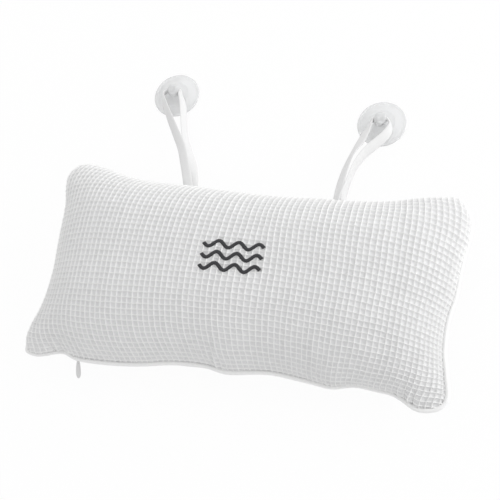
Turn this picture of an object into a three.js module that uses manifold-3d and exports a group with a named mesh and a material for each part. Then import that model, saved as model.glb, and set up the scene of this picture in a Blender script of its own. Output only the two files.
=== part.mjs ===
// Bath pillow with a zipped waffle cover, two tape straps and two suction cups.
// Millimetres, +Z up. The pillow lies on its back: X runs along it, +Y points to the cups and
// +Z out of its face. The origin is the middle of the flat patch of the back that it rests on.
import * as THREE from "three";
import { mergeVertices } from "three/addons/utils/BufferGeometryUtils.js";
import Module from "manifold-3d";

const wasm = await Module();
wasm.setup();

// Pillow: the cover's outline in the seam plane, ear to ear, and its two crowns
const COVER_LENGTH = 396;
const COVER_WIDTH = 200;
const CORNER_RADIUS = 17;
const END_SAG = 14.5; // how far the short ends draw in at their middle
const TOP_SAG = 22; // the same for the long side with the straps
const BOTTOM_SAG = 14.5; // the same for the long side with the zip
const BOTTOM_SLANT = THREE.MathUtils.degToRad(1.7); // that side lies a little askew
const FRONT_CROWN = 47; // face above the seam
const BACK_CROWN = 42; // back below the seam, before the surface it lies on flattens it
const SEAM_HEIGHT = 38; // seam above that surface
const COVER_THICKNESS = 1.2;

// How the sags and crowns run, as plain powers of the distance from the middle
const END_SAG_POWER = 1.8;
const TOP_SAG_POWER = 3;
const BOTTOM_SAG_POWER = 8;
const ALONG_POWER = 4.2; // the crown along the pillow
const ACROSS_POWER = 2.7; // the crown across it
const CROWN_FALL = 0.62;
const ROUNDING_POWER = 2; // how fast the rings turn from an ellipse into the outline
const UNDRAW_STEPS = 8; // rounds in which a point's place before the sags is found
const CORNER_STEPS = 4;
const LONG_SIDE_STEPS = 8;
const SHORT_SIDE_STEPS = 4;
const RING_SHARES = [0.2, 0.35, 0.5, 0.65, 0.78, 0.88, 0.95, 1];
const PAD_RING_SHARES = [0.2, 0.35, 0.5, 0.65, 0.78, 0.88];
const PAD_RIM_SHARE = 0.92;

// Loose pad inside the cover
const CASING_THICKNESS = 0.6;
const LAYER_GAP = 0.3; // between pieces that touch
const CASING_RIM_GAP = 0.15; // each casing panel above or below the pad's own seam

// Piping: a bias sleeve round a cord, its two edges sewn between the cover panels
const PIPING_RADIUS = 2;
const SLEEVE_THICKNESS = 0.5;
const PIPING_FLANGE = 5; // how far its edges reach in under the panels
const FLANGE_SLIT = 0.2; // between the two edges
const CORD_SIDES = 6;
const SLEEVE_OUTER_STEPS = 6;
const SLEEVE_INNER_STEPS = 5;

// Zip in the bottom seam, just behind the piping
const ZIP_LEFT = -156;
const ZIP_LENGTH = 264;
const ZIP_TILT = THREE.MathUtils.degToRad(122); // about X, from lying flat
const ZIP_OFFSET = 1.7; // tape plane outside the seam line
const ZIP_LINE = 7.6; // middle of the coils, measured from the seam down the back
const TAPE_WIDTH = 5.7;
const TAPE_THICKNESS = 0.6;
const COIL_SLIT = 1.4; // between the two coils
const COIL_WIDTH = 1.9;
const COIL_HEIGHT = 1.4;
const COIL_MARGIN = 4.5; // tape left bare beyond each end of the coils
const STOP_LENGTH = 2;
const STOP_OVERHANG = 0.3;
const SLIDER_FROM_STOP = 0.8; // slider's rest, parked at the left stop
const SLIDER_LENGTH = 8.6;
const SLIDER_WIDTH = 6.6;
const SLIDER_NOSE_WIDTH = 4.2;
const SLIDER_PLATE = 1;
const SLIDER_POST = 0.8;
const SLIDER_POST_LENGTH = 3;
const BRIDGE_LENGTH = 6;
const BRIDGE_WIDTH = 0.8;
const BRIDGE_FOOT = 0.8;
const BRIDGE_TOP = 0.6;
const RING_WIRE_RADIUS = 0.4;
const RING_LENGTH = 5.2; // between the middles of its two bars
const RING_HALF_WIDTH = 1.4;
const RING_CORNER = 0.7;
const RING_SIDES = 6;
const RING_CORNER_STEPS = 3;
const PULL_THICKNESS = 1;
const PULL_LENGTH = 15.8; // from the middle of its eye to its tip
const PULL_WIDTH = 4.6;
const PULL_EYE_RADIUS = 0.75;
const PULL_EYE_WALL = 0.6;
const PULL_WIDEST_SHARE = 0.66;
const PULL_ARC_STEPS = 6;

// Straps: soft tape, folded into a loop, its two ends sewn into the top seam
const TAPE_STRAP_WIDTH = 10;
const TAPE_STRAP_THICKNESS = 1.2;
const STRAP_PLY_GAP = 0.4; // between the two plies where they lie on each other
const STRAP_DROP = 3.75; // middle of the plies below the seam plane
const STRAP_REACH = 7; // fold line outside the cover's rim
const KNUCKLE_RADIUS = 1.5; // rounded fold at the sewn end
const ANCHOR_DEPTH = 4; // sewn end inside the cover
const ANCHOR_GAP = 0.4;
const ANCHOR_WIDTH = 11;
const STRAP_STEPS = 12;
const TURN_STEPS = 3;
const TURN_RADIUS = 3;
const GATHERED_WIDTH = 3.4; // tape bunched up inside the knob's hole
const GATHERED_THICKNESS = 2.4;
const GATHER_START_SHARE = 0.8;
const STRAP_LEAD = 34; // handle that bends a strap's path at each end, in its own direction
const LEFT_STRAP_X = -72;
const LEFT_CUP_X = -121;
const LEFT_CUP_Y = 200;
const LEFT_CUP_TURN = THREE.MathUtils.degToRad(7);
const RIGHT_STRAP_X = 74.5;
const RIGHT_CUP_X = 95.4;
const RIGHT_CUP_Y = 182;
const RIGHT_CUP_TURN = THREE.MathUtils.degToRad(5);
const STRAPS = [
  {
    side: "left",
    baseX: LEFT_STRAP_X,
    cup: [LEFT_CUP_X, LEFT_CUP_Y],
    yaw: LEFT_CUP_TURN,
    leaveShares: [-0.2, 0.97, 0.18],
    arriveShares: [-0.18, 1, -0.03],
    splitShare: 0.4,
  },
  {
    side: "right",
    baseX: RIGHT_STRAP_X,
    cup: [RIGHT_CUP_X, RIGHT_CUP_Y],
    yaw: RIGHT_CUP_TURN,
    leaveShares: [0.18, 0.82, 0.35],
    arriveShares: [0.21, 0.79, -0.47],
    splitShare: 0.22,
  },
];

// Suction cups: a domed disc with a pierced knob
const CUP_RADIUS = 24;
const LIP_WIDTH = 4;
const LIP_THICKNESS = 0.9;
const CUP_HOLLOW = 3.4;
const DOME_HEIGHT = 5.4; // outside of the dome, at the neck
const DOME_STEPS = 4;
const NECK_RADIUS = 4.6;
const NECK_TOP = 7;
const KNOB_RADIUS = 6.5;
const KNOB_TOP = 15.6;
const KNOB_STEPS = 4;
const HOLE_RADIUS = 2.4;
const HOLE_HEIGHT = 10.8;
const HOLE_SIDES = 12;
const CUP_SIDES = 32;
const KNOB_CLEARANCE = 0.6; // from the knob to the tape on each side of it

// Embroidery on the face: wavy satin-stitched lines
const WAVE_NAMES = ["upper", "middle", "lower"];
const WAVE_LENGTH = 58;
const WAVE_PERIODS = 3;
const WAVE_HEIGHT = 3; // middle line to crest
const WAVE_THREAD_WIDTH = 2.6;
const WAVE_PITCH = 10.5;
const WAVE_THICKNESS = 0.8;
const WAVE_STEPS = 24;
const WAVE_CENTRE_Y = 3.5;

const OVERRUN = 2; // cutters run past what they cut

const COLOURS = {
  waffle: 0xf1f1f1,
  tape: 0xf4f4f3,
  casing: 0xfafafa,
  filling: 0xffffff,
  thread: 0x4b4b4d,
  zip: 0xeeeeee,
  slider: 0xd2d2d2,
  cup: 0xe2e4e5,
};

function material(colour, roughness, opacity) {
  const made = new THREE.MeshStandardMaterial({ color: colour, roughness, metalness: 0 });
  made.transparent = opacity < 1;
  made.opacity = opacity;
  return made;
}

const cloth = (colour) => material(colour, 0.95, 1);
const plastic = (colour, opacity) => material(colour, 0.35, opacity);

const smooth = (share) => THREE.MathUtils.smoothstep(share, 0, 1);
const mix = THREE.MathUtils.lerp;

// Solids: geometry to a closed body and back, with its faces turned outwards

function bodyOf(geometry) {
  const bare = geometry.clone();
  bare.deleteAttribute("normal");
  bare.deleteAttribute("uv");
  const merged = mergeVertices(bare, 1e-4);
  const corners = merged.index.array;
  const kept = [];
  for (let i = 0; i < corners.length; i += 3) {
    const [a, b, c] = corners.subarray(i, i + 3);
    if (a !== b && b !== c && c !== a) kept.push(a, b, c);
  }
  const build = (triVerts) =>
    new wasm.Manifold(
      new wasm.Mesh({ numProp: 3, vertProperties: merged.attributes.position.array, triVerts }),
    );
  const made = build(new Uint32Array(kept));
  return made.volume() > 0 ? made : build(new Uint32Array(kept.reverse()));
}

function geometryOf(body) {
  const mesh = body.getMesh();
  const points = new Float32Array(mesh.numVert * 3);
  for (let i = 0; i < mesh.numVert; i++) {
    points.set(mesh.vertProperties.subarray(i * mesh.numProp, i * mesh.numProp + 3), i * 3);
  }
  const geometry = new THREE.BufferGeometry();
  geometry.setAttribute("position", new THREE.BufferAttribute(points, 3));
  geometry.setIndex(new THREE.BufferAttribute(mesh.triVerts, 1));
  geometry.computeVertexNormals();
  return geometry;
}

function named(name, geometry, look) {
  const mesh = new THREE.Mesh(geometryOf(bodyOf(geometry)), look);
  mesh.name = name;
  return mesh;
}

// A closed skin over rows of points: capped at two tips, or joined end to end into a ring.
// From the turn row on, each four-sided face is split along its other diagonal, so that rows
// which run back inwards are cut up as the rows that run outwards are.
function skin(rows, tips, turn = rows.length) {
  const count = rows[0].length;
  const points = rows.flat();
  const faces = [];
  const lastRow = tips ? rows.length - 1 : rows.length;
  for (let row = 0; row < lastRow; row++) {
    const here = row * count;
    const there = ((row + 1) % rows.length) * count;
    for (let i = 0; i < count; i++) {
      const j = (i + 1) % count;
      if (row < turn) faces.push(here + i, here + j, there + j, here + i, there + j, there + i);
      else faces.push(here + i, here + j, there + i, here + j, there + j, there + i);
    }
  }
  if (tips) {
    const end = (rows.length - 1) * count;
    const tip = points.length;
    for (let i = 0; i < count; i++) {
      const j = (i + 1) % count;
      faces.push(tip, j, i, tip + 1, end + i, end + j);
    }
    points.push(...tips);
  }
  const geometry = new THREE.BufferGeometry().setFromPoints(points);
  geometry.setIndex(faces);
  return geometry;
}

function middleOf(row) {
  const sum = row.reduce((total, point) => total.add(point), new THREE.Vector3());
  return sum.divideScalar(row.length);
}

// Outline of the cover in the seam plane: a rounded rectangle whose sides are drawn in

function roundedRectangle() {
  const x = COVER_LENGTH / 2 - CORNER_RADIUS;
  const y = COVER_WIDTH / 2 - CORNER_RADIUS;
  const centres = [[x, y], [-x, y], [-x, -y], [x, -y]];
  const sideSteps = [LONG_SIDE_STEPS, SHORT_SIDE_STEPS, LONG_SIDE_STEPS, SHORT_SIDE_STEPS];
  const points = [];
  centres.forEach(([cx, cy], corner) => {
    for (let step = 0; step <= CORNER_STEPS; step++) {
      const angle = (corner + step / CORNER_STEPS) * (Math.PI / 2);
      points.push(
        new THREE.Vector2(cx + CORNER_RADIUS * Math.cos(angle), cy + CORNER_RADIUS * Math.sin(angle)),
      );
    }
    const [nextX, nextY] = centres[(corner + 1) % 4];
    const from = points.at(-1).clone();
    const side = new THREE.Vector2(nextX - cx, nextY - cy);
    for (let step = 1; step < sideSteps[corner]; step++) {
      points.push(from.clone().addScaledVector(side, step / sideSteps[corner]));
    }
  });
  return points;
}

function drawnIn(point) {
  const u = Math.abs(point.x) / (COVER_LENGTH / 2);
  const v = Math.abs(point.y) / (COVER_WIDTH / 2);
  const bottomSag = BOTTOM_SAG + point.x * Math.tan(BOTTOM_SLANT);
  const [sag, power] = point.y > 0 ? [TOP_SAG, TOP_SAG_POWER] : [bottomSag, BOTTOM_SAG_POWER];
  const endSag = END_SAG * u * (1 - v ** END_SAG_POWER);
  const sideSag = sag * v * (1 - u ** power);
  return new THREE.Vector2(
    point.x - Math.sign(point.x) * endSag,
    point.y - Math.sign(point.y) * sideSag,
  );
}

const OUTLINE = roundedRectangle().map(drawnIn);

// A closed loop moved outwards by a distance, or inwards where that is negative
function moved(loop, distance) {
  const count = loop.length;
  return loop.map((point, i) => {
    const along = loop[(i + 1) % count].clone().sub(loop[(i + count - 1) % count]);
    const outwards = new THREE.Vector2(along.y, -along.x).normalize();
    return point.clone().addScaledVector(outwards, distance);
  });
}

// Where the outline crosses a given x, on the side with the straps or on the one with the zip
function rimY(x, side) {
  return drawnIn(new THREE.Vector2(x, side * (COVER_WIDTH / 2))).y;
}

const RIM_GAP = FLANGE_SLIT / 2 + SLEEVE_THICKNESS + LAYER_GAP; // each panel's rim off the seam plane

// The point that the sags draw in to this one
function undrawn(point) {
  const flat = point.clone();
  for (let step = 0; step < UNDRAW_STEPS; step++) flat.sub(drawnIn(flat)).add(point);
  return flat;
}

const fullness = (share, power) => Math.max(1 - share ** power, 0) ** CROWN_FALL;

// How far a panel stands off its rim over a point of the plan
function heightAt(point, side) {
  const { x, y } = undrawn(point);
  const along = fullness(Math.abs(x) / (COVER_LENGTH / 2), ALONG_POWER);
  const across = fullness(Math.abs(y) / (COVER_WIDTH / 2), ACROSS_POWER);
  if (side > 0) return FRONT_CROWN * along * across;
  return Math.min(BACK_CROWN * along * across, SEAM_HEIGHT - RIM_GAP);
}

// One ring of a layer: an ellipse near the middle of the pillow, its outline at the rim
function ringAt(inset, share, heightOver) {
  const halfLength = COVER_LENGTH / 2;
  const halfWidth = (COVER_WIDTH - TOP_SAG - BOTTOM_SAG) / 2;
  const loop = OUTLINE.map((point) => {
    const angle = Math.atan2(point.y / halfWidth, point.x / halfLength);
    const ellipse = new THREE.Vector2(halfLength * Math.cos(angle), halfWidth * Math.sin(angle));
    return ellipse.lerp(point, share ** ROUNDING_POWER).multiplyScalar(share);
  });
  return moved(loop, -inset).map(
    (point, i) => new THREE.Vector3(point.x, point.y, SEAM_HEIGHT + heightOver(loop[i])),
  );
}

// One layer of the pillow, counted inwards from the outside of the cover
function layerRows(inset, side, shares) {
  return shares.map((share) => {
    const above = (point) => (share < 1 ? Math.max(heightAt(point, side) - inset, 0) : 0);
    return ringAt(inset, share, (point) => side * (RIM_GAP + above(point)));
  });
}

function layerTip(inset, side) {
  const middle = heightAt(new THREE.Vector2(0, 0), side) - inset;
  return new THREE.Vector3(0, 0, SEAM_HEIGHT + side * (RIM_GAP + middle));
}

function coverPanel(side) {
  const outer = layerRows(0, side, RING_SHARES);
  const inner = layerRows(COVER_THICKNESS, side, RING_SHARES).reverse();
  const tips = [layerTip(0, side), layerTip(COVER_THICKNESS, side)];
  return skin([...outer, ...inner], tips, outer.length);
}

const padRim = (inset, side) => ringAt(inset, PAD_RIM_SHARE, () => side * CASING_RIM_GAP);

function casingPanel(side) {
  const outside = COVER_THICKNESS + LAYER_GAP;
  const inside = outside + CASING_THICKNESS;
  const outer = [...layerRows(outside, side, PAD_RING_SHARES), padRim(outside, side)];
  const inner = [...layerRows(inside, side, PAD_RING_SHARES), padRim(inside, side)].reverse();
  const tips = [layerTip(outside, side), layerTip(inside, side)];
  return skin([...outer, ...inner], tips, outer.length);
}

function fillingBody() {
  const inset = COVER_THICKNESS + LAYER_GAP + CASING_THICKNESS + LAYER_GAP;
  const front = layerRows(inset, 1, PAD_RING_SHARES);
  const back = layerRows(inset, -1, PAD_RING_SHARES).reverse();
  const tips = [layerTip(inset, 1), layerTip(inset, -1)];
  return skin([...front, padRim(inset, 0), ...back], tips, front.length);
}

// Piping round the seam: sections stand square to the outline

const PIPING_CENTRE = PIPING_RADIUS + FLANGE_SLIT; // outside the cover's rim

function sweptRound(section) {
  const rows = [];
  const unit = moved(OUTLINE, 1);
  OUTLINE.forEach((point, i) => {
    const outwards = unit[i].clone().sub(point);
    rows.push(
      section.map(
        ([out, up]) =>
          new THREE.Vector3(point.x + outwards.x * out, point.y + outwards.y * out, SEAM_HEIGHT + up),
      ),
    );
  });
  return skin(rows, null);
}

function arc(radius, from, to, steps) {
  return Array.from({ length: steps + 1 }, (_, step) => {
    const angle = mix(from, to, step / steps);
    return [PIPING_CENTRE + radius * Math.cos(angle), radius * Math.sin(angle)];
  });
}

function sleeveSection() {
  const edge = FLANGE_SLIT / 2;
  const top = edge + SLEEVE_THICKNESS;
  const innerRadius = PIPING_RADIUS - SLEEVE_THICKNESS;
  const outerStart = Math.PI - Math.asin(top / PIPING_RADIUS);
  const innerStart = Math.PI - Math.asin(edge / innerRadius);
  return [
    ...arc(PIPING_RADIUS, outerStart, -outerStart, SLEEVE_OUTER_STEPS),
    [-PIPING_FLANGE, -top],
    [-PIPING_FLANGE, -edge],
    ...arc(innerRadius, -innerStart, innerStart, SLEEVE_INNER_STEPS),
    [-PIPING_FLANGE, edge],
    [-PIPING_FLANGE, top],
  ];
}

function cordSection() {
  const radius = PIPING_RADIUS - SLEEVE_THICKNESS - LAYER_GAP;
  return arc(radius, 0, Math.PI * 2, CORD_SIDES).slice(0, CORD_SIDES);
}

// Zip frame: X along the zip, Y up the back to the seam, Z out of the tapes

function zipFrame() {
  const frame = new THREE.Group();
  frame.position.set(0, rimY(0, -1), SEAM_HEIGHT);
  frame.rotation.set(ZIP_TILT, 0, BOTTOM_SLANT, "ZYX");
  frame.updateMatrixWorld(true);
  return frame;
}

function box(size, centre) {
  const geometry = new THREE.BoxGeometry(...size);
  geometry.translate(...centre);
  return geometry;
}

const ZIP_MIDDLE = ZIP_LEFT + ZIP_LENGTH / 2;
const COIL_LENGTH = ZIP_LENGTH - 2 * COIL_MARGIN;
const COIL_LIFT = ZIP_OFFSET + TAPE_THICKNESS / 2 + LAYER_GAP; // underside of the coils
const COIL_REACH = COIL_SLIT / 2 + COIL_WIDTH; // outer edge of the coils from their middle

// A strip along the zip on one side of its middle line: +1 towards the seam
function zipStrip(side, length, fromMiddle, width, bottom, height) {
  const across = -ZIP_LINE + side * (fromMiddle + width / 2);
  return box([length, width, height], [ZIP_MIDDLE, across, bottom + height / 2]);
}

function zipSlot() {
  const width = 2 * (COIL_SLIT / 2 + TAPE_WIDTH + LAYER_GAP);
  const reach = PIPING_RADIUS + OVERRUN; // clears the panel's rim in front of the tapes
  const length = ZIP_LENGTH + 2 * LAYER_GAP;
  const depth = 4 * (COVER_THICKNESS + ZIP_OFFSET);
  return box([length, width + reach, depth], [ZIP_MIDDLE, -ZIP_LINE + reach / 2, ZIP_OFFSET]);
}

const STOP_X = ZIP_LENGTH / 2 - COIL_MARGIN + STOP_LENGTH / 2 + LAYER_GAP;

function zipStop(side) {
  const size = [STOP_LENGTH, 2 * (COIL_REACH - STOP_OVERHANG), COIL_HEIGHT];
  return box(size, [ZIP_MIDDLE + side * STOP_X, -ZIP_LINE, COIL_LIFT + COIL_HEIGHT / 2]);
}

// Slider: two plates joined by a post that runs between the coils, and a bridge for the pull

const TOP_PLATE_LIFT = COIL_LIFT + COIL_HEIGHT + LAYER_GAP;
const BOTTOM_PLATE_LIFT = ZIP_OFFSET - TAPE_THICKNESS / 2 - LAYER_GAP - SLIDER_PLATE;
const PIVOT_LIFT = TOP_PLATE_LIFT + SLIDER_PLATE + LAYER_GAP + RING_WIRE_RADIUS;
const BRIDGE_LIFT = PIVOT_LIFT + RING_WIRE_RADIUS + LAYER_GAP;
const SLIDER_X =
  ZIP_MIDDLE - STOP_X + STOP_LENGTH / 2 + SLIDER_FROM_STOP + SLIDER_LENGTH / 2;

function sliderPlate(bottom) {
  const half = SLIDER_LENGTH / 2;
  const shoulder = half - (SLIDER_WIDTH - SLIDER_NOSE_WIDTH);
  const outline = [
    [-half, -SLIDER_NOSE_WIDTH / 2],
    [-shoulder, -SLIDER_WIDTH / 2],
    [shoulder, -SLIDER_WIDTH / 2],
    [half, -SLIDER_NOSE_WIDTH / 2],
    [half, SLIDER_NOSE_WIDTH / 2],
    [shoulder, SLIDER_WIDTH / 2],
    [-shoulder, SLIDER_WIDTH / 2],
    [-half, SLIDER_NOSE_WIDTH / 2],
  ];
  const shape = new THREE.Shape(outline.map(([x, y]) => new THREE.Vector2(x, y)));
  const plate = new THREE.ExtrudeGeometry(shape, { depth: SLIDER_PLATE, bevelEnabled: false });
  plate.translate(0, 0, bottom);
  return plate;
}

function slider() {
  const sink = SLIDER_PLATE / 2; // joined pieces run this far into the plates
  const postBottom = BOTTOM_PLATE_LIFT + sink;
  const postHeight = TOP_PLATE_LIFT + sink - postBottom;
  const post = box(
    [SLIDER_POST_LENGTH, SLIDER_POST, postHeight],
    [0, 0, postBottom + postHeight / 2],
  );
  const footBottom = TOP_PLATE_LIFT + sink;
  const footHeight = BRIDGE_LIFT + BRIDGE_TOP - footBottom;
  const footX = (BRIDGE_LENGTH - BRIDGE_FOOT) / 2;
  const feet = [-footX, footX].map((x) =>
    box([BRIDGE_FOOT, BRIDGE_WIDTH, footHeight], [x, 0, footBottom + footHeight / 2]),
  );
  const top = box([BRIDGE_LENGTH, BRIDGE_WIDTH, BRIDGE_TOP], [0, 0, BRIDGE_LIFT + BRIDGE_TOP / 2]);
  const parts = [sliderPlate(TOP_PLATE_LIFT), sliderPlate(BOTTOM_PLATE_LIFT), post, ...feet, top];
  return geometryOf(parts.map(bodyOf).reduce((whole, piece) => whole.add(piece)));
}

// Wire ring under the bridge, across the zip, standing out from its pivot bar at the origin
function pullRing() {
  const y = RING_HALF_WIDTH - RING_CORNER;
  const corners = [
    [y, RING_LENGTH - RING_CORNER],
    [-y, RING_LENGTH - RING_CORNER],
    [-y, RING_CORNER],
    [y, RING_CORNER],
  ];
  const rows = corners.flatMap(([cy, cz], corner) =>
    Array.from({ length: RING_CORNER_STEPS + 1 }, (_, step) => {
      const angle = (corner + step / RING_CORNER_STEPS) * (Math.PI / 2);
      return ringSection(cy, cz, new THREE.Vector3(0, Math.cos(angle), Math.sin(angle)));
    }),
  );
  return skin(rows, null);
}

function ringSection(cornerY, cornerZ, outwards) {
  const middle = new THREE.Vector3(0, cornerY, cornerZ).addScaledVector(outwards, RING_CORNER);
  return Array.from({ length: RING_SIDES }, (_, i) => {
    const angle = (i / RING_SIDES) * 2 * Math.PI;
    const point = middle.clone().addScaledVector(outwards, RING_WIRE_RADIUS * Math.cos(angle));
    return point.setX(RING_WIRE_RADIUS * Math.sin(angle));
  });
}

// Pull: a drop-shaped tab with an eye at the origin, hanging from the ring's far bar
function pull() {
  const top = PULL_EYE_RADIUS + PULL_EYE_WALL;
  const half = PULL_WIDTH / 2;
  const widest = PULL_LENGTH * PULL_WIDEST_SHARE;
  const shape = new THREE.Shape();
  shape.absarc(0, 0, top, Math.PI, 2 * Math.PI, false);
  shape.quadraticCurveTo(half, widest / 2, half, widest);
  shape.absellipse(0, widest, half, PULL_LENGTH - widest, 0, Math.PI, false);
  shape.quadraticCurveTo(-half, widest / 2, -top, 0);
  const eye = new THREE.Path();
  eye.absarc(0, 0, PULL_EYE_RADIUS, 0, 2 * Math.PI, false);
  shape.holes.push(eye);
  const tab = new THREE.ExtrudeGeometry(shape, {
    depth: PULL_THICKNESS,
    bevelEnabled: false,
    curveSegments: PULL_ARC_STEPS,
  });
  tab.translate(0, 0, -PULL_THICKNESS / 2);
  return tab.rotateX(Math.PI / 2);
}

// Straps: each is one tape from its sewn end, through the knob's hole and back

function foldLine(strap) {
  return new THREE.Vector3(
    strap.baseX,
    rimY(strap.baseX, 1) + STRAP_REACH,
    SEAM_HEIGHT - STRAP_DROP,
  );
}

const holeCentre = (strap) => new THREE.Vector3(...strap.cup, HOLE_HEIGHT);
const LOOP_HALF = KNOB_RADIUS + KNOB_CLEARANCE + TAPE_STRAP_THICKNESS / 2;
const PLY_HALF = (TAPE_STRAP_THICKNESS + STRAP_PLY_GAP) / 2;

// The four corners of the tape's section
function tapeSection(centre, across, outwards, width, thickness) {
  return [[1, 1], [1, -1], [-1, -1], [-1, 1]].map(([w, t]) =>
    centre
      .clone()
      .addScaledVector(across, (w * width) / 2)
      .addScaledVector(outwards, (t * thickness) / 2),
  );
}

// One ply from the fold line to the knob: ply 1 lies on top at the seam, ply -1 under it
function plySections(strap, ply, side, away) {
  const start = foldLine(strap);
  const end = holeCentre(strap).addScaledVector(away, -TURN_RADIUS);
  const path = new THREE.CubicBezierCurve3(
    start,
    start.clone().addScaledVector(new THREE.Vector3(...strap.leaveShares), STRAP_LEAD),
    end.clone().addScaledVector(new THREE.Vector3(...strap.arriveShares), -STRAP_LEAD),
    end,
  );
  const up = new THREE.Vector3(0, 0, 1);
  return Array.from({ length: STRAP_STEPS + 1 }, (_, step) => {
    const share = step / STRAP_STEPS;
    const twist = (Math.PI / 2) * smooth(share);
    const spread = smooth((share - strap.splitShare) / (1 - strap.splitShare));
    const gather = smooth((share - GATHER_START_SHARE) / (1 - GATHER_START_SHARE));
    const across = side.clone().multiplyScalar(Math.cos(twist)).addScaledVector(up, Math.sin(twist));
    const outwards = up.clone().multiplyScalar(Math.cos(twist)).addScaledVector(side, -Math.sin(twist));
    outwards.multiplyScalar(ply);
    const centre = path.getPoint(share).addScaledVector(outwards, mix(PLY_HALF, LOOP_HALF, spread));
    const width = mix(TAPE_STRAP_WIDTH, GATHERED_WIDTH, gather);
    return tapeSection(centre, across, outwards, width, TAPE_STRAP_THICKNESS);
  });
}

// The turn from one ply into the hole, from the side of the knob to the hole's line
function turnSections(strap, ply, side, away) {
  const up = new THREE.Vector3(0, 0, 1);
  const corner = holeCentre(strap)
    .addScaledVector(side, -ply * (LOOP_HALF - TURN_RADIUS))
    .addScaledVector(away, -TURN_RADIUS);
  return Array.from({ length: TURN_STEPS }, (_, step) => {
    const share = (step + 1) / TURN_STEPS;
    const angle = (share * Math.PI) / 2;
    const outwards = side.clone().multiplyScalar(-ply * Math.cos(angle));
    outwards.addScaledVector(away, Math.sin(angle));
    const centre = corner.clone().addScaledVector(outwards, TURN_RADIUS);
    const thickness = mix(TAPE_STRAP_THICKNESS, GATHERED_THICKNESS, smooth(share));
    return tapeSection(centre, up, outwards, GATHERED_WIDTH, thickness);
  });
}

function strapBody(strap) {
  const side = new THREE.Vector3(Math.cos(strap.yaw), Math.sin(strap.yaw), 0);
  const away = new THREE.Vector3(-Math.sin(strap.yaw), Math.cos(strap.yaw), 0);
  const sections = [
    ...plySections(strap, 1, side, away),
    ...turnSections(strap, 1, side, away),
    ...turnSections(strap, -1, side, away).reverse(),
    ...plySections(strap, -1, side, away).reverse(),
  ];
  const tape = skin(sections, [middleOf(sections[0]), middleOf(sections.at(-1))]);
  const knuckle = new THREE.CylinderGeometry(
    KNUCKLE_RADIUS,
    KNUCKLE_RADIUS,
    TAPE_STRAP_WIDTH,
    HOLE_SIDES,
  );
  knuckle.rotateZ(Math.PI / 2);
  knuckle.translate(...foldLine(strap).toArray());
  return geometryOf(bodyOf(tape).add(bodyOf(knuckle)));
}

const ANCHOR_THICKNESS = 2 * TAPE_STRAP_THICKNESS + STRAP_PLY_GAP;

// The sewn end of a strap, held in a notch of the back panel under the piping
function anchorBox(strap, grow) {
  const end = STRAP_REACH - KNUCKLE_RADIUS - ANCHOR_GAP;
  const length = end + ANCHOR_DEPTH;
  const centreY = rimY(strap.baseX, 1) + end - length / 2;
  const size = [ANCHOR_WIDTH, length, ANCHOR_THICKNESS].map((value) => value + 2 * grow);
  return box(size, [strap.baseX, centreY, SEAM_HEIGHT - STRAP_DROP]);
}

function backPanel() {
  const slot = zipSlot().applyMatrix4(zipFrame().matrixWorld);
  const cutters = [slot, ...STRAPS.map((strap) => anchorBox(strap, LAYER_GAP))];
  const panel = bodyOf(coverPanel(-1));
  return geometryOf(cutters.reduce((whole, cutter) => whole.subtract(bodyOf(cutter)), panel));
}

// Suction cup about its own axis, lip down at the origin

function cupProfile() {
  const lipInner = CUP_RADIUS - LIP_WIDTH;
  const points = [];
  for (let step = 0; step <= DOME_STEPS; step++) {
    const share = step / DOME_STEPS;
    points.push([lipInner * share, CUP_HOLLOW * (1 - share ** 2)]);
  }
  points.push([CUP_RADIUS, 0]);
  for (let step = 0; step <= DOME_STEPS; step++) {
    const share = 1 - step / DOME_STEPS;
    const radius = mix(NECK_RADIUS, CUP_RADIUS, share);
    points.push([radius, mix(DOME_HEIGHT, LIP_THICKNESS, share ** 2)]);
  }
  points.push([NECK_RADIUS, NECK_TOP]);
  const knobHalf = (KNOB_TOP - NECK_TOP) / 2;
  for (let step = 1; step <= KNOB_STEPS; step++) {
    const angle = mix(-Math.PI / 4, Math.PI / 2, step / KNOB_STEPS);
    const height = NECK_TOP + knobHalf * (1 + Math.sin(angle));
    points.push([step === KNOB_STEPS ? 0 : KNOB_RADIUS * Math.cos(angle) ** 0.5, height]);
  }
  return points.map(([radius, height]) => new THREE.Vector2(radius, height));
}

function suctionCup() {
  const cup = new THREE.LatheGeometry(cupProfile(), CUP_SIDES);
  cup.rotateX(Math.PI / 2);
  const length = 2 * (KNOB_RADIUS + OVERRUN);
  const hole = new THREE.CylinderGeometry(HOLE_RADIUS, HOLE_RADIUS, length, HOLE_SIDES);
  hole.rotateZ(Math.PI / 2);
  hole.translate(0, 0, HOLE_HEIGHT);
  return geometryOf(bodyOf(cup).subtract(bodyOf(hole)));
}

// One wavy line of satin stitch
function wave() {
  const line = (offset) =>
    Array.from({ length: WAVE_STEPS + 1 }, (_, step) => {
      const share = step / WAVE_STEPS;
      const rise = WAVE_HEIGHT * Math.sin(share * WAVE_PERIODS * 2 * Math.PI);
      return new THREE.Vector2((share - 0.5) * WAVE_LENGTH, rise + offset);
    });
  const half = WAVE_THREAD_WIDTH / 2;
  const shape = new THREE.Shape([...line(-half), ...line(half).reverse()]);
  return new THREE.ExtrudeGeometry(shape, { depth: WAVE_THICKNESS, bevelEnabled: false });
}

function addPillow(model) {
  model.add(named("cover_front", coverPanel(1), cloth(COLOURS.waffle)));
  model.add(named("cover_back", backPanel(), cloth(COLOURS.waffle)));
  model.add(named("piping_sleeve", sweptRound(sleeveSection()), cloth(COLOURS.waffle)));
  model.add(named("piping_cord", sweptRound(cordSection()), cloth(COLOURS.casing)));
  model.add(named("pad_casing_front", casingPanel(1), cloth(COLOURS.casing)));
  model.add(named("pad_casing_back", casingPanel(-1), cloth(COLOURS.casing)));
  model.add(named("pad_filling", fillingBody(), cloth(COLOURS.filling)));
}

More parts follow.
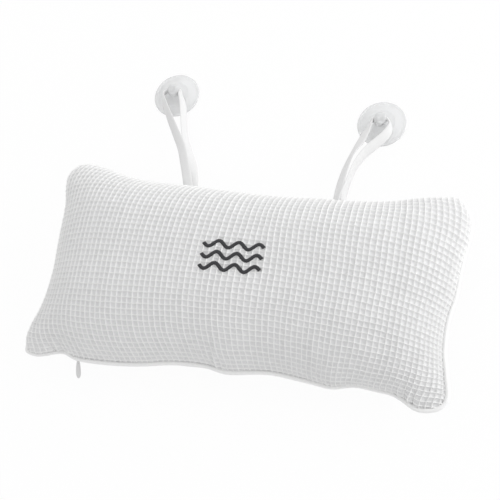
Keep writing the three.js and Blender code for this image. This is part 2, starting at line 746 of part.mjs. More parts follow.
function addZip(model) {
  const frame = zipFrame();
  const edge = COIL_SLIT / 2;
  const tapeBottom = ZIP_OFFSET - TAPE_THICKNESS / 2;
  [["front", 1], ["back", -1]].forEach(([name, side]) => {
    const tape = zipStrip(side, ZIP_LENGTH, edge, TAPE_WIDTH, tapeBottom, TAPE_THICKNESS);
    frame.add(named("zip_tape_" + name, tape, cloth(COLOURS.zip)));
    const coil = zipStrip(side, COIL_LENGTH, edge, COIL_WIDTH, COIL_LIFT, COIL_HEIGHT);
    frame.add(named("zip_coil_" + name, coil, plastic(COLOURS.zip, 1)));
  });
  [["left", -1], ["right", 1]].forEach(([name, side]) => {
    frame.add(named("zip_stop_" + name, zipStop(side), plastic(COLOURS.slider, 1)));
  });
  const runner = new THREE.Group();
  runner.position.set(SLIDER_X, -ZIP_LINE, 0);
  runner.add(named("zip_slider", slider(), plastic(COLOURS.slider, 1)));
  const ring = named("zip_pull_ring", pullRing(), plastic(COLOURS.slider, 1));
  ring.position.set(0, 0, PIVOT_LIFT);
  const tab = named("zip_pull", pull(), plastic(COLOURS.slider, 1));
  tab.position.set(0, 0, RING_LENGTH);
  ring.add(tab);
  runner.add(ring);
  frame.add(runner);
  model.add(frame);
}

function addStrapsAndCups(model) {
  STRAPS.forEach((strap) => {
    model.add(named("strap_anchor_" + strap.side, anchorBox(strap, 0), cloth(COLOURS.tape)));
    model.add(named("strap_" + strap.side, strapBody(strap), cloth(COLOURS.tape)));
    const cup = named("suction_cup_" + strap.side, suctionCup(), plastic(COLOURS.cup, 0.5));
    cup.position.set(...strap.cup, 0);
    cup.rotation.z = strap.yaw;
    model.add(cup);
  });
}

function addEmbroidery(model) {
  const patch = new THREE.Group();
  patch.position.set(0, WAVE_CENTRE_Y, SEAM_HEIGHT + RIM_GAP + FRONT_CROWN + LAYER_GAP);
  WAVE_NAMES.forEach((name, i) => {
    const line = named("embroidery_wave_" + name, wave(), cloth(COLOURS.thread));
    line.position.y = (1 - i) * WAVE_PITCH;
    patch.add(line);
  });
  model.add(patch);
}

const pillow = new THREE.Group();
addPillow(pillow);
addZip(pillow);
addStrapsAndCups(pillow);
addEmbroidery(pillow);

export default pillow;
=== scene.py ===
import math

import bmesh
import bpy
import numpy as np
from mathutils import Matrix, Vector
from mathutils.bvhtree import BVHTree


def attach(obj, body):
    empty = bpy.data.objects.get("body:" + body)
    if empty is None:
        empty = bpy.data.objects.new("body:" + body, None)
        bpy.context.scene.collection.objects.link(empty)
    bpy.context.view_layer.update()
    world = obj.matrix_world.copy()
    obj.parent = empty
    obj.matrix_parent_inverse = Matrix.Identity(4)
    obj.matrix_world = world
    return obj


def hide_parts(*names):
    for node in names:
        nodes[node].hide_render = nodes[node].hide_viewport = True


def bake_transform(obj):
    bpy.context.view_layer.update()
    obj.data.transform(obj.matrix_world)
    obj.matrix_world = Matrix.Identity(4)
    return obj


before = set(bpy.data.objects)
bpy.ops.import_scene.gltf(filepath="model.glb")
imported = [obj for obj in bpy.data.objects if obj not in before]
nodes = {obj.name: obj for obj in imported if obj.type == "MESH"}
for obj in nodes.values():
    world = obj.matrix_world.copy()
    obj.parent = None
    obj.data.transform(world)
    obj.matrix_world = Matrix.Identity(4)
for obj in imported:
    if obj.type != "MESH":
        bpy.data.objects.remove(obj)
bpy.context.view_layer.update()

# Lengths are in millimetres until a mesh is made, and heights count from the seam plane
MM = 0.001
SEAM_Z = 38.0
FLOOR_Z = -SEAM_Z
UP = np.array([0.0, 0.0, 1.0])

# Outer edge of the cover, seen along +Z, anticlockwise from the right end, and how far the seam
# with its piping is rolled in under that edge: 0 in full view, 1 out of sight
OUTLINE = [
    (190, -20, 0.1), (195, 4, 0.4), (198.2, 36, 0.8), (202.2, 60, 1), (201.6, 79, 1), (195.5, 91, 1),
    (188.2, 100, 1), (176.3, 102, 1), (150, 96, 1), (125, 88.6, 0.9), (95, 85, 0.8), (60, 85, 0.8),
    (10, 83.2, 0.8), (-40, 86.4, 0.6), (-66, 88, 0.3), (-100, 88.2, 0.3), (-130, 92, 0.6),
    (-155, 100.6, 1), (-172.5, 105.2, 1), (-185.5, 105.6, 1), (-197, 99.4, 1), (-203.6, 87, 1),
    (-202.4, 74, 1), (-195, 52, 1), (-192.8, 25, 1), (-191.2, 4, 1), (-189.4, -18, 1),
    (-192.2, -48, 1), (-202.4, -72, 1), (-204.3, -85, 1), (-201.5, -97, 1), (-188.5, -101, 1),
    (-177, -99, 0.9), (-167, -95, 0.6), (-157, -92.8, 0.3), (-148, -96, 0.1), (-137, -97.5, 0.1),
    (-110, -97.3, 0.1), (-81, -94.5, 0.1), (-50, -88.9, 0), (-20, -87.7, 0), (1, -91, 0),
    (26, -87.8, 0), (42, -86.4, 0), (60, -87.8, 0), (80, -90.7, 0.2), (97, -93.4, 0.5),
    (116, -89.6, 0.7), (134, -90.9, 0.6), (148, -91.4, 0.4), (159, -95.2, 0.1), (170, -100.8, 0),
    (181, -101, 0), (191.5, -97.2, 0), (197.8, -87.5, 0), (194.9, -69, 0), (190, -46, 0),
]
# Corners of the outline: left front, right front, right back, left back
CORNERS = [(-200, -95.5), (192, -98), (196, 95), (-196, 100)]
PIPE_RADIUS = 2.0
PIPE_INSET = (2.0, 6.4)  # middle of the piping inside the outline: in view, rolled under
PIPE_DROP = (0.0, 5.4)
RIM_INSET = (2.8, 1.0)  # edge of the panels before they are rolled under
TUCK_IN, TUCK_DOWN, TUCK_REACH = 5.4, 5.0, 16.0
TUCK_BEND = (2.4, 1.6)  # how late the pull inwards and the pull downwards set in
EDGE_POINTS, EDGE_PASSES, TUCK_PASSES, INSET_PASSES = 1800, 30, 60, 20

# Cut of each panel: whole waffle cells, with rounded corners
WAFFLE_PITCH = 5.15  # on the flat cut, before the filling stretches it
CELLS_LONG, CELLS_WIDE = 79, 41
CLOTH_LENGTH = CELLS_LONG * WAFFLE_PITCH
CLOTH_WIDTH = CELLS_WIDE * WAFFLE_PITCH
CLOTH_CORNER = 20.0
ALONG = CLOTH_LENGTH / 2 - CLOTH_CORNER
ACROSS = CLOTH_WIDTH / 2 - CLOTH_CORNER
CORNER_REACH = CLOTH_CORNER * math.sqrt(0.5)
SIM_PER_CELL = 2
CELL_LINES = np.array([0, 0.05, 0.14, 0.5, 0.86, 0.95])  # mesh lines in a waffle cell

# Crown of each panel
FRONT_HEIGHT, BACK_HEIGHT = 47.2, 42.3
HALF_LONG, HALF_WIDE = 190, 88
LONG_POWER, WIDE_POWER, FALL = 4.2, 2.7, 0.62
PROFILE_POINTS = 801
EDGE_REACH = (12, 18)  # how fast the bends of the edge die out in the face, across and along it
CALM_POINTS, CALM_PASSES = 200, 900

# How far the weave slides over the crown, and where this sets in, in shares of the face
DIP_LEFT, DIP_RIGHT = 0.05, 0.14
DIP_LEFT_FROM, DIP_RIGHT_FROM = 0.35, 0.6
BOW_LEFT, BOW_RIGHT, BOW_FOOT = 0.032, 0.018, 0.055
LEFT_SPAN, RIGHT_SPAN, FOOT_SPAN = (0.35, 0.65), (0.5, 0.62), (0.6, 0.85)


def mix(pair, share):
    return pair[0] + (pair[1] - pair[0]) * share


def step(low, high, x):
    t = np.clip((x - low) / (high - low), 0, 1)
    return t * t * (3 - 2 * t)


def catmull_rom(a, b, c, d, t):
    """Smooth curve from b to c, where a comes before them and d after them."""
    return 0.5 * (2 * b + (c - a) * t + (2 * a - 5 * b + 4 * c - d) * t**2 + (3 * b - a - 3 * c + d) * t**3)


def closed_curve(points, per_span=14):
    """Smooth curve through the points of a closed loop."""
    p = np.asarray(points, float)
    a, b, c, d = (np.roll(p, k, axis=0)[:, None] for k in (1, 0, -1, -2))
    t = np.arange(per_span)[None, :, None] / per_span
    return catmull_rom(a, b, c, d, t).reshape(-1, p.shape[1])


def run_length(points):
    """Distance along a line of points, from 0 at its start."""
    return np.concatenate([[0], np.cumsum(np.linalg.norm(np.diff(points, axis=0), axis=1))])


def evenly(curve, count, closed=True):
    """The curve as count points a constant distance apart."""
    p = np.vstack([curve, curve[:1]]) if closed else np.asarray(curve, float)
    run = run_length(p)
    at = np.linspace(0, run[-1], count, endpoint=not closed)
    return np.stack([np.interp(at, run, p[:, k]) for k in range(p.shape[1])], axis=1)


def unit(vectors):
    return vectors / np.linalg.norm(vectors, axis=-1, keepdims=True)


def smoothed(curve, passes):
    for _ in range(passes):
        curve = (np.roll(curve, 1, axis=0) + 2 * curve + np.roll(curve, -1, axis=0)) / 4
    return curve


def inset(curve, by):
    """A closed anticlockwise curve moved inwards in plan."""
    ahead = unit(np.roll(curve[:, :2], -1, axis=0) - np.roll(curve[:, :2], 1, axis=0))
    inwards = np.stack([-ahead[:, 1], ahead[:, 0]], axis=1)
    return curve[:, :2] + np.reshape(by, (-1, 1)) * inwards


OUTER = smoothed(evenly(closed_curve(OUTLINE), EDGE_POINTS), EDGE_PASSES)
TUCK = smoothed(np.clip(OUTER[:, 2:], 0, 1), TUCK_PASSES)[:, 0]
RIM_LINE = smoothed(inset(OUTER, mix(RIM_INSET, TUCK)), INSET_PASSES)
PIPE_LINE = smoothed(inset(OUTER, mix(PIPE_INSET, TUCK)), INSET_PASSES)


def side_curves():
    """The front, right, back and left side of the rim, from left to right or front to back."""
    marks = [int(np.argmin(np.linalg.norm(RIM_LINE - c, axis=1))) for c in CORNERS]

    def span(a, b):
        k = (marks[b] - marks[a]) % len(RIM_LINE)
        return RIM_LINE[(marks[a] + np.arange(k + 1)) % len(RIM_LINE)]

    return span(0, 1), span(1, 2), span(2, 3)[::-1], span(3, 0)[::-1]


def calm(side):
    """A side without its short bends, with the same ends."""
    line = evenly(side, CALM_POINTS, closed=False)
    for _ in range(CALM_PASSES):
        line[1:-1] = (line[:-2] + 2 * line[1:-1] + line[2:]) / 4
    return line


def edge_at(side, share):
    """The points of a side at shares of its length."""
    run = run_length(side)
    return np.stack([np.interp(share * run[-1], run, side[:, k]) for k in range(2)], axis=-1)


def cloth_limit(straight, other, distance):
    """How far the cut reaches from one middle line at a distance from the other."""
    past = np.clip(np.abs(distance) - other, 0, CLOTH_CORNER)
    return straight + np.sqrt(CLOTH_CORNER**2 - past**2)


def cloth_coordinates(u, v):
    """Where a point of the square [-1, 1] lies on the flat cut, in millimetres from its middle."""
    s = u * cloth_limit(ALONG, ACROSS, v * (ACROSS + CORNER_REACH))
    t = v * cloth_limit(ACROSS, ALONG, u * (ALONG + CORNER_REACH))
    return s, t


NEWTON_PASSES, NUDGE, LONGEST_STEP, LEAST_AREA = 14, 1e-4, 0.1, 100


def square_coordinates(s, t):
    """The way back, by Newton's method in short steps."""
    u, v = s / (CLOTH_LENGTH / 2), t / (CLOTH_WIDTH / 2)
    for _ in range(NEWTON_PASSES):
        hu, hv = -NUDGE * np.sign(u + 1e-9), -NUDGE * np.sign(v + 1e-9)
        s0, t0 = cloth_coordinates(u, v)
        s1, t1 = cloth_coordinates(u + hu, v)
        s2, t2 = cloth_coordinates(u, v + hv)
        a, c = (s1 - s0) / hu, (t1 - t0) / hu
        b, d = (s2 - s0) / hv, (t2 - t0) / hv
        area = a * d - b * c
        area = np.where(np.abs(area) < LEAST_AREA, LEAST_AREA, area)
        ds, dt = s - s0, t - t0
        du, dv = (d * ds - b * dt) / area, (a * dt - c * ds) / area
        u = np.clip(u + np.clip(du, -LONGEST_STEP, LONGEST_STEP), -1, 1)
        v = np.clip(v + np.clip(dv, -LONGEST_STEP, LONGEST_STEP), -1, 1)
    return u, v


def into_cut(s, t):
    """Points past a rounded corner of the cut are brought back on to its edge."""
    x, y = np.abs(s) - ALONG, np.abs(t) - ACROSS
    r = np.hypot(np.clip(x, 0, None), np.clip(y, 0, None))
    out = (x > 0) & (y > 0) & (r > CLOTH_CORNER)
    k = np.where(out, CLOTH_CORNER / np.maximum(r, 1e-9), 1)
    in_s, in_t = np.sign(s) * (ALONG + x * k), np.sign(t) * (ACROSS + y * k)
    return np.where(out, in_s, s), np.where(out, in_t, t), out


def edge_distance(s, t):
    """Distance on the flat cut from its edge."""
    x, y = np.abs(s) - ALONG, np.abs(t) - ACROSS
    outside = np.hypot(np.clip(x, 0, None), np.clip(y, 0, None)) + np.minimum(np.maximum(x, y), 0)
    return np.clip(CLOTH_CORNER - outside, 0, None)


def crown(x, power):
    """Height of a crowned profile: 1 in the middle, 0 at the seam."""
    return np.clip(1 - np.abs(x) ** power, 0, 1) ** FALL


def even_profile(height, half, power, shares):
    """Places along a crowned profile that lie evenly along its surface."""
    x = np.sin(np.linspace(-math.pi / 2, math.pi / 2, PROFILE_POINTS))
    run = run_length(np.stack([x * half, height * crown(x, power)], axis=1))
    return np.interp((shares + 1) / 2 * run[-1], run, x)


def drifted(u, v):
    """The weave slides over the crown: its rows dip towards both ends and its columns bow."""
    a, b = (u + 1) / 2, (v + 1) / 2
    dip = DIP_LEFT * np.clip(1 - a / DIP_LEFT_FROM, 0, 1)
    dip = dip + DIP_RIGHT * np.clip((a - DIP_RIGHT_FROM) / (1 - DIP_RIGHT_FROM), 0, 1) ** 1.4
    right = BOW_RIGHT * step(*RIGHT_SPAN, a) * np.sin(2 * math.pi * b**1.3)
    left = BOW_LEFT * (1 - step(*LEFT_SPAN, a)) * (1 - v**2)
    foot = BOW_FOOT * (1 - b) ** 5 * (1 - step(*FOOT_SPAN, a))
    return u + (right - left + foot) * (1 - u**8), v - dip * (1 - v**2)


def start_panel(height):
    """Crowned start shape of a panel (grid, 3) and its flat cut (grid, 2)."""
    u = np.linspace(-1, 1, CELLS_LONG * SIM_PER_CELL + 1)
    v = np.linspace(-1, 1, CELLS_WIDE * SIM_PER_CELL + 1)
    flat = np.dstack(cloth_coordinates(*np.meshgrid(u, v)))
    wide_u = np.array([even_profile(height * c, HALF_LONG, LONG_POWER, u) for c in crown(v, WIDE_POWER)])
    wide_v = np.array([even_profile(height * c, HALF_WIDE, WIDE_POWER, v) for c in crown(u, LONG_POWER)]).T
    wide_u, wide_v = drifted(wide_u, wide_v)
    front, right, back, left = side_curves()
    a, b = (wide_u[..., None] + 1) / 2, (wide_v[..., None] + 1) / 2
    plan = 0
    for side, cut_side, own, near, reach in (
        (front, flat[0], (wide_u, u), 1 - b, EDGE_REACH[0]),
        (back, flat[-1], (wide_u, u), b, EDGE_REACH[0]),
        (left, flat[:, 0], (wide_v, v), 1 - a, EDGE_REACH[1]),
        (right, flat[:, -1], (wide_v, v), a, EDGE_REACH[1]),
    ):
        run = run_length(cut_side)
        at = np.interp(*own, run / run[-1])
        even = edge_at(calm(side), at)
        plan = plan + near * even + near**reach * (edge_at(side, at) - even)
    corners = (1 - a) * (1 - b) * front[0] + a * (1 - b) * front[-1]
    corners = corners + (1 - a) * b * back[0] + a * b * back[-1]
    z = height * crown(wide_u, LONG_POWER) * crown(wide_v, WIDE_POWER)
    return np.dstack([plan - corners, z]), flat


def grid_faces(rows, columns, flip=False):
    index = np.arange(rows * columns).reshape(rows, columns)
    quads = np.stack([index[:-1, :-1], index[:-1, 1:], index[1:, 1:], index[1:, :-1]], axis=-1).reshape(-1, 4)
    return quads[:, ::-1] if flip else quads


def ring_faces(index):
    """Quads between neighbouring rings of point numbers."""
    here, ahead = index[:-1], index[1:]
    quads = np.stack([here, np.roll(here, -1, axis=1), np.roll(ahead, -1, axis=1), ahead], axis=-1)
    return quads.reshape(-1, 4).tolist()


def skin(rings, closed=False):
    """Points and faces over rings of points, with flat ends where the rings don't close."""
    count, sides = rings.shape[:2]
    index = np.arange(count * sides).reshape(count, sides)
    ends = [] if closed else [index[0, ::-1].tolist(), index[-1].tolist()]
    if closed:
        index = np.vstack([index, index[:1]])
    return rings.reshape(-1, 3), ring_faces(index) + ends


def new_object(name, data):
    obj = bpy.data.objects.new(name, data)
    bpy.context.scene.collection.objects.link(obj)
    return obj


def mesh_object(name, points, faces, finish=None):
    """A smooth mesh object from points in millimetres above the seam plane."""
    p = np.asarray(points, float).reshape(-1, 3) + SEAM_Z * UP
    mesh = bpy.data.meshes.new(name)
    mesh.from_pydata((p * MM).tolist(), [], faces.tolist() if isinstance(faces, np.ndarray) else faces)
    mesh.polygons.foreach_set("use_smooth", [True] * len(mesh.polygons))
    mesh.update()
    if finish:
        mesh.materials.append(finish)
    return new_object(name, mesh)


def lay_flat(obj, name, places):
    """Gives each point its place on the flat cloth, as a UV map."""
    layer = obj.data.uv_layers.new(name=name)
    corner = np.empty(len(obj.data.loops), int)
    obj.data.loops.foreach_get("vertex_index", corner)
    layer.data.foreach_set("uv", places[corner].reshape(-1))


def applied(obj, sharp):
    """Makes the modifiers part of the mesh, smooth but for edges past an angle in degrees."""
    ready = obj.evaluated_get(bpy.context.evaluated_depsgraph_get())
    mesh = bpy.data.meshes.new_from_object(ready)
    obj.modifiers.clear()
    obj.data = mesh
    mesh.polygons.foreach_set("use_smooth", [True] * len(mesh.polygons))
    mesh.set_sharp_from_angle(angle=math.radians(sharp))


def points_of(obj):
    """Its points in millimetres above the seam plane."""
    out = np.empty(len(obj.data.vertices) * 3)
    obj.data.vertices.foreach_get("co", out)
    return out.reshape(-1, 3) / MM - (0, 0, SEAM_Z)


# Cloth simulation: both panels hang on their rim and press outwards

SIM_FRAMES = 24
MOST_FOLD = 2.2
CROWN_PASSES = 40  # of blur: what is smoother belongs to the crown


def cloth_piece(name, start, flat, flip):
    rows, columns = start.shape[:2]
    obj = mesh_object(name, start, grid_faces(rows, columns, flip))
    obj.shape_key_add(name="start")
    rest = obj.shape_key_add(name="cut")
    rest.data.foreach_set("co", np.dstack([flat, np.zeros(flat.shape[:2])]).reshape(-1) * MM)
    rest.value = 0
    edge = np.ones((rows, columns), bool)
    edge[1:-1, 1:-1] = False
    group = obj.vertex_groups.new(name="seam")
    group.add(np.flatnonzero(edge.reshape(-1)).tolist(), 1.0, "REPLACE")
    cloth = obj.modifiers.new("cloth", "CLOTH")
    s = cloth.settings
    s.quality = 7
    s.mass = 0.02
    s.tension_stiffness = s.compression_stiffness = 25
    s.shear_stiffness = 8
    s.bending_stiffness = 0.5
    s.tension_damping = s.compression_damping = s.shear_damping = 8
    s.vertex_group_mass = "seam"
    s.rest_shape_key = rest
    s.use_pressure = True
    s.uniform_pressure_force = 300
    s.effector_weights.gravity = 0
    cloth.collision_settings.use_collision = False
    cloth.point_cache.frame_start = 1
    cloth.point_cache.frame_end = SIM_FRAMES
    return obj


def blurred(grid, passes):
    for _ in range(passes):
        for axis in (0, 1):
            g = np.moveaxis(grid, axis, 0).copy()
            g[1:-1] = (g[:-2] + 2 * g[1:-1] + g[2:]) / 4
            grid = np.moveaxis(g, 0, axis)
    return grid


def folds(starts):
    """How the simulation moves each panel's points. The crown was measured, so its change is left out."""
    scene = bpy.context.scene
    pieces = [cloth_piece(f"sim_{k}", s, flat, flip) for k, (s, flat, flip) in enumerate(starts)]
    for f in range(1, SIM_FRAMES + 1):
        scene.frame_set(f)
    out = []
    for (start, _, _), obj in zip(starts, pieces):
        ready = obj.evaluated_get(bpy.context.evaluated_depsgraph_get())
        moved = points_of(ready).reshape(start.shape) - start
        moved = moved - blurred(moved, CROWN_PASSES)
        far = np.linalg.norm(moved, axis=-1, keepdims=True) + 1e-9
        out.append(moved * (MOST_FOLD * np.tanh(far / MOST_FOLD) / far))
        mesh = obj.data
        bpy.data.objects.remove(obj)
        bpy.data.meshes.remove(mesh)
    scene.frame_set(1)
    return out


def weights(f):
    """Shares of four neighbours in a smooth curve through the middle two."""
    return (
        0.5 * (-f + 2 * f**2 - f**3),
        0.5 * (2 - 5 * f**2 + 3 * f**3),
        0.5 * (f + 4 * f**2 - 3 * f**3),
        0.5 * (-(f**2) + f**3),
    )


def extended(rows):
    """The rows with one more at each end, straight on."""
    return np.concatenate([2 * rows[:1] - rows[1:2], rows, 2 * rows[-1:] - rows[-2:-1]])


def surface(grid, u, v):
    """Points of a panel at square coordinates of any shape, by bicubic interpolation."""
    rows, columns = grid.shape[:2]
    g = extended(extended(grid).swapaxes(0, 1)).swapaxes(0, 1)
    x, y = (u + 1) / 2 * (columns - 1), (v + 1) / 2 * (rows - 1)
    i, j = np.clip(x.astype(int), 0, columns - 2), np.clip(y.astype(int), 0, rows - 2)
    wx, wy = weights(x - i), weights(y - j)
    out = 0
    for a in range(4):
        for b in range(4):
            out = out + (wy[a] * wx[b])[..., None] * g[j + a, i + b]
    return out


def surface_normals(grid, u, v):
    h = 0.004  # of half the square's side
    along = surface(grid, np.clip(u + h, -1, 1), v) - surface(grid, np.clip(u - h, -1, 1), v)
    across = surface(grid, u, np.clip(v + h, -1, 1)) - surface(grid, u, np.clip(v - h, -1, 1))
    n = np.cross(along, across)
    return n / (np.linalg.norm(n, axis=-1, keepdims=True) + 1e-12)


def rolled_under(grid, flat, spread):
    """Draws the rim in and down where the seam is out of sight, so that the panel bulges over it."""
    distance = edge_distance(flat[..., 0], flat[..., 1])
    reach = TUCK_REACH * spread
    near = distance < reach
    p = grid[near]
    every = 3
    nearest = np.argmin(((p[:, None, :2] - RIM_LINE[None, ::every]) ** 2).sum(-1), axis=1) * every
    weight = TUCK[nearest]
    inwards = (inset(OUTER, 1.0) - OUTER[:, :2])[nearest]
    share = 1 - distance[near] / reach
    p[:, :2] += inwards * (weight * TUCK_IN * share ** TUCK_BEND[0])[:, None]
    p[:, 2] -= weight * TUCK_DOWN * share ** TUCK_BEND[1]
    grid = grid.copy()
    grid[near] = p
    return grid


front_start, cut = start_panel(FRONT_HEIGHT)
back_start, _ = start_panel(BACK_HEIGHT)
back_start = back_start * (1, 1, -1)
front_grid, back_grid = front_start, back_start
front_fold, back_fold = folds([(front_start, cut, False), (back_start, cut, True)])
front_grid, back_grid = front_start + front_fold, back_start + back_fold
front_grid = rolled_under(front_grid, cut, spread=1.0)
back_grid = rolled_under(back_grid, cut, spread=1.6)


# Embroidery: three wavy lines of satin stitch, a generic motif

WAVE_SPAN, WAVE_HEIGHT, WAVE_PERIODS = 55.4, 3.0, 3
WAVE_WIDTH = 3.2
WAVE_ROWS = (-7.0, 3.5, 14.0)


def wave_line(row, count=240):
    x = np.linspace(-WAVE_SPAN / 2, WAVE_SPAN / 2, count)
    return np.stack([x, row + WAVE_HEIGHT * np.sin(2 * math.pi * WAVE_PERIODS * x / WAVE_SPAN)], axis=1)


def wave_distance(x, y):
    """Distance in plan from the wavy lines, or a far one away from them."""
    far, margin = 99.0, 12
    near = np.full(x.shape, far)
    box = (np.abs(x) < WAVE_SPAN / 2 + margin) & (y > WAVE_ROWS[0] - margin) & (y < WAVE_ROWS[-1] + margin)
    p = np.stack([x[box], y[box]], axis=1)
    line = np.vstack([wave_line(row) for row in WAVE_ROWS])
    near[box] = np.sqrt(((p[:, None, :] - line[None]) ** 2).sum(-1)).min(1)
    return near


# Weave of the cover

RIDGE, CROSSING, HOLLOW = 0.75, 0.45, 1.6  # heights; a crossing is higher by a share of the ridge
RIDGE_FALL = (0.01, 0.14)  # from and to this distance from its line, in cells, a ridge falls away
UNEVEN_HOLLOWS, UNEVEN_LINES = (0.75, 1.1), (0.8, 1.1)
SHALLOW = 0.5  # depth beside a ridge as a share of the depth in the middle of a cell
WOBBLE, WOBBLE_WAVES, WOBBLE_LENGTHS = 0.05, 14, (9, 38)


def waffle(s, t, seed):
    """Height of the weave over the cloth, and how deep in a hollow each point is; the second sets the painted
    shade in the hollows.
    """
    rng = np.random.RandomState(seed)
    s = (s + CLOTH_LENGTH / 2) / WAFFLE_PITCH
    t = (t + CLOTH_WIDTH / 2) / WAFFLE_PITCH
    cell_s = np.clip(s.astype(int), 0, CELLS_LONG - 1)
    cell_t = np.clip(t.astype(int), 0, CELLS_WIDE - 1)
    line_s, line_t = np.round(s), np.round(t)
    uneven = rng.uniform(*UNEVEN_HOLLOWS, (CELLS_WIDE, CELLS_LONG))[cell_t, cell_s]
    lines_s = rng.uniform(*UNEVEN_LINES, CELLS_LONG + 1)[np.clip(line_s.astype(int), 0, CELLS_LONG)]
    lines_t = rng.uniform(*UNEVEN_LINES, CELLS_WIDE + 1)[np.clip(line_t.astype(int), 0, CELLS_WIDE)]
    off_s, off_t = np.abs(s - line_s), np.abs(t - line_t)
    a, b = 1 - step(*RIDGE_FALL, off_s), 1 - step(*RIDGE_FALL, off_t)
    ridge = np.maximum(a * lines_s, b * lines_t)
    sunk = HOLLOW * uneven * mix((SHALLOW, 1), 2 * np.minimum(off_s, off_t))
    return RIDGE * (ridge + CROSSING * a * b) - (1 - ridge) * sunk, 1 - np.maximum(a, b)


def wobble(s, t, seed):
    """Slow sideways drift of the ridges, in millimetres."""
    rng = np.random.RandomState(seed)
    out = 0
    for _ in range(WOBBLE_WAVES):
        angle, length = rng.uniform(0, 2 * math.pi), rng.uniform(*WOBBLE_LENGTHS)
        x, y = math.cos(angle) / length, math.sin(angle) / length
        out = out + rng.normal(0, WOBBLE) * np.sin(2 * math.pi * (s * x + t * y) + rng.uniform(0, 6.3))
    return out


# Creases seen on the face: (x, y) from the seam inwards, width, depth
CREASES = [
    ([(-160, -95), (-163.6, -92), (-167, -88.5), (-171, -84)], 1.5, 1.6),
    ([(-156, -92), (-158, -86), (-161, -80)], 1.6, 1.1),
    ([(-12.6, -88), (-11.6, -82), (-10.2, -75.8), (-9.6, -66)], 1.6, 1.0),
    ([(-16.6, -88), (-17, -80), (-17.4, -72)], 1.5, 0.7),
    ([(-4, -88), (-3.4, -81), (-3.2, -74)], 1.5, 0.6),
    ([(166.6, -98), (168.2, -91), (170.6, -83)], 1.7, 1.5),
    ([(160, -95), (161, -88), (161.6, -80)], 1.6, 0.9),
    ([(191.5, 50), (187, 48), (181, 47)], 1.5, 1.0),
    ([(190.5, 40), (186, 41), (180, 42)], 1.5, 0.8),
]
CREASE_POINTS, CREASE_MARGIN, CREASE_LOWEST = 24, 14, -8
CREASE_FADE = (0.35, 1.0)  # share of its length over which a crease dies out
BULGE, BULGE_AWAY, BULGE_WIDTH = 0.4, 2.3, 1.4  # raised cloth beside it, in its own depths and widths


def creased(base, normal):
    """Presses the creases into the front panel."""
    for line, width, depth in CREASES:
        path = evenly(np.array(line, float), CREASE_POINTS, closed=False)
        low, high = path.min(0) - CREASE_MARGIN, path.max(0) + CREASE_MARGIN
        box = ((base[..., :2] > low) & (base[..., :2] < high)).all(-1) & (base[..., 2] > CREASE_LOWEST)
        p = base[box][:, :2]
        gap = np.sqrt(((p[:, None] - path[None]) ** 2).sum(-1))
        nearest = gap.argmin(1)
        gap = gap.min(1)
        fade = 1 - step(*CREASE_FADE, nearest / (len(path) - 1.0))
        groove = np.exp(-((gap / width) ** 2))
        bulge = np.exp(-(((gap - BULGE_AWAY * width) / (BULGE_WIDTH * width)) ** 2))
        dent = -depth * groove + BULGE * depth * bulge
        base[box] += normal[box] * (dent * fade)[:, None]
    return base


STEADY_EDGE = 9  # the ridges wobble less within this distance of the seam
WEAVE_FADE = (-0.6, 1.6)  # distance from the seam over which the weave rises
PRESSED, PRESSED_EDGE = 0.25, (-0.2, 1.0)  # share of the weave under the stitches, and past their edge
FLOOR_GAP, CAP_RISE = 0.05, 0.2
CLOTH_UV = 10  # UV units in a metre of cloth


def weave_lines(cells):
    """Mesh lines across the flat cut, from its middle."""
    lines = np.append((np.arange(cells)[:, None] + CELL_LINES).reshape(-1), cells)
    return lines * WAFFLE_PITCH - cells * WAFFLE_PITCH / 2


def open_edges(quads):
    """The edges that only one quad has, in its own direction."""
    ahead = np.stack([quads, np.roll(quads, -1, axis=1)], axis=-1).reshape(-1, 2)
    _, first, count = np.unique(np.sort(ahead, axis=1), axis=0, return_index=True, return_counts=True)
    return ahead[first[count == 1]]


def panel(name, grid, flip, seed):
    """Fine panel with its weave, cut off at the seam and closed across the seam plane."""
    s, t, out = into_cut(*np.meshgrid(weave_lines(CELLS_LONG), weave_lines(CELLS_WIDE)))
    inner = step(0, STEADY_EDGE, edge_distance(s, t))
    u, v = square_coordinates(s + wobble(s, t, seed) * inner, t + wobble(s, t, seed + 1) * inner)
    base = surface(grid, u, v)
    n = surface_normals(grid, u, v) * (-1 if flip else 1)
    height, depth = waffle(s, t, seed)
    fade = step(*WEAVE_FADE, edge_distance(s, t))
    if flip:
        base = behind_zip(rest_on_floor(base))
    else:
        base = creased(base, n)
        low, high = (WAVE_WIDTH / 2 + past for past in PRESSED_EDGE)
        fade = fade * mix((PRESSED, 1), step(low, high, wave_distance(base[..., 0], base[..., 1])))
    fine = base + n * (height * fade)[..., None]
    if flip:
        fine[..., 2] = np.maximum(fine[..., 2], FLOOR_Z + FLOOR_GAP)
    quads = grid_faces(*s.shape, flip)
    quads = quads[~out.reshape(-1)[quads].all(axis=1)]
    used, quads = np.unique(quads, return_inverse=True)
    quads = quads.reshape(-1, 4)
    middle = len(used)
    cap = [(int(b), int(a), middle) for a, b in open_edges(quads)]
    points = np.vstack([fine.reshape(-1, 3)[used], [[0, 0, -CAP_RISE if flip else CAP_RISE]]])
    obj = mesh_object(name, points, quads.tolist() + cap, WAFFLE)
    lay_flat(obj, "cloth", np.vstack([np.dstack([s, t]).reshape(-1, 2)[used], [[0, 0]]]) * MM * CLOTH_UV)
    # Painted shade: the hollow attribute marks where the weave's hollows lie, and the cloth's base colour is
    # darkened there for the shadow in them.
    shade = obj.data.attributes.new("hollow", "FLOAT", "POINT")
    shade.data.foreach_set("value", np.append((depth * fade).reshape(-1)[used], 0).astype(np.float32))
    return obj


# Materials

def material(name, colour, roughness, **sockets):
    m = bpy.data.materials.new(name)
    m.use_nodes = True
    shader = m.node_tree.nodes["Principled BSDF"]
    shader.inputs["Base Color"].default_value = (*colour, 1)
    shader.inputs["Roughness"].default_value = roughness
    for key, value in sockets.items():
        shader.inputs[key.replace("_", " ")].default_value = value
    return m


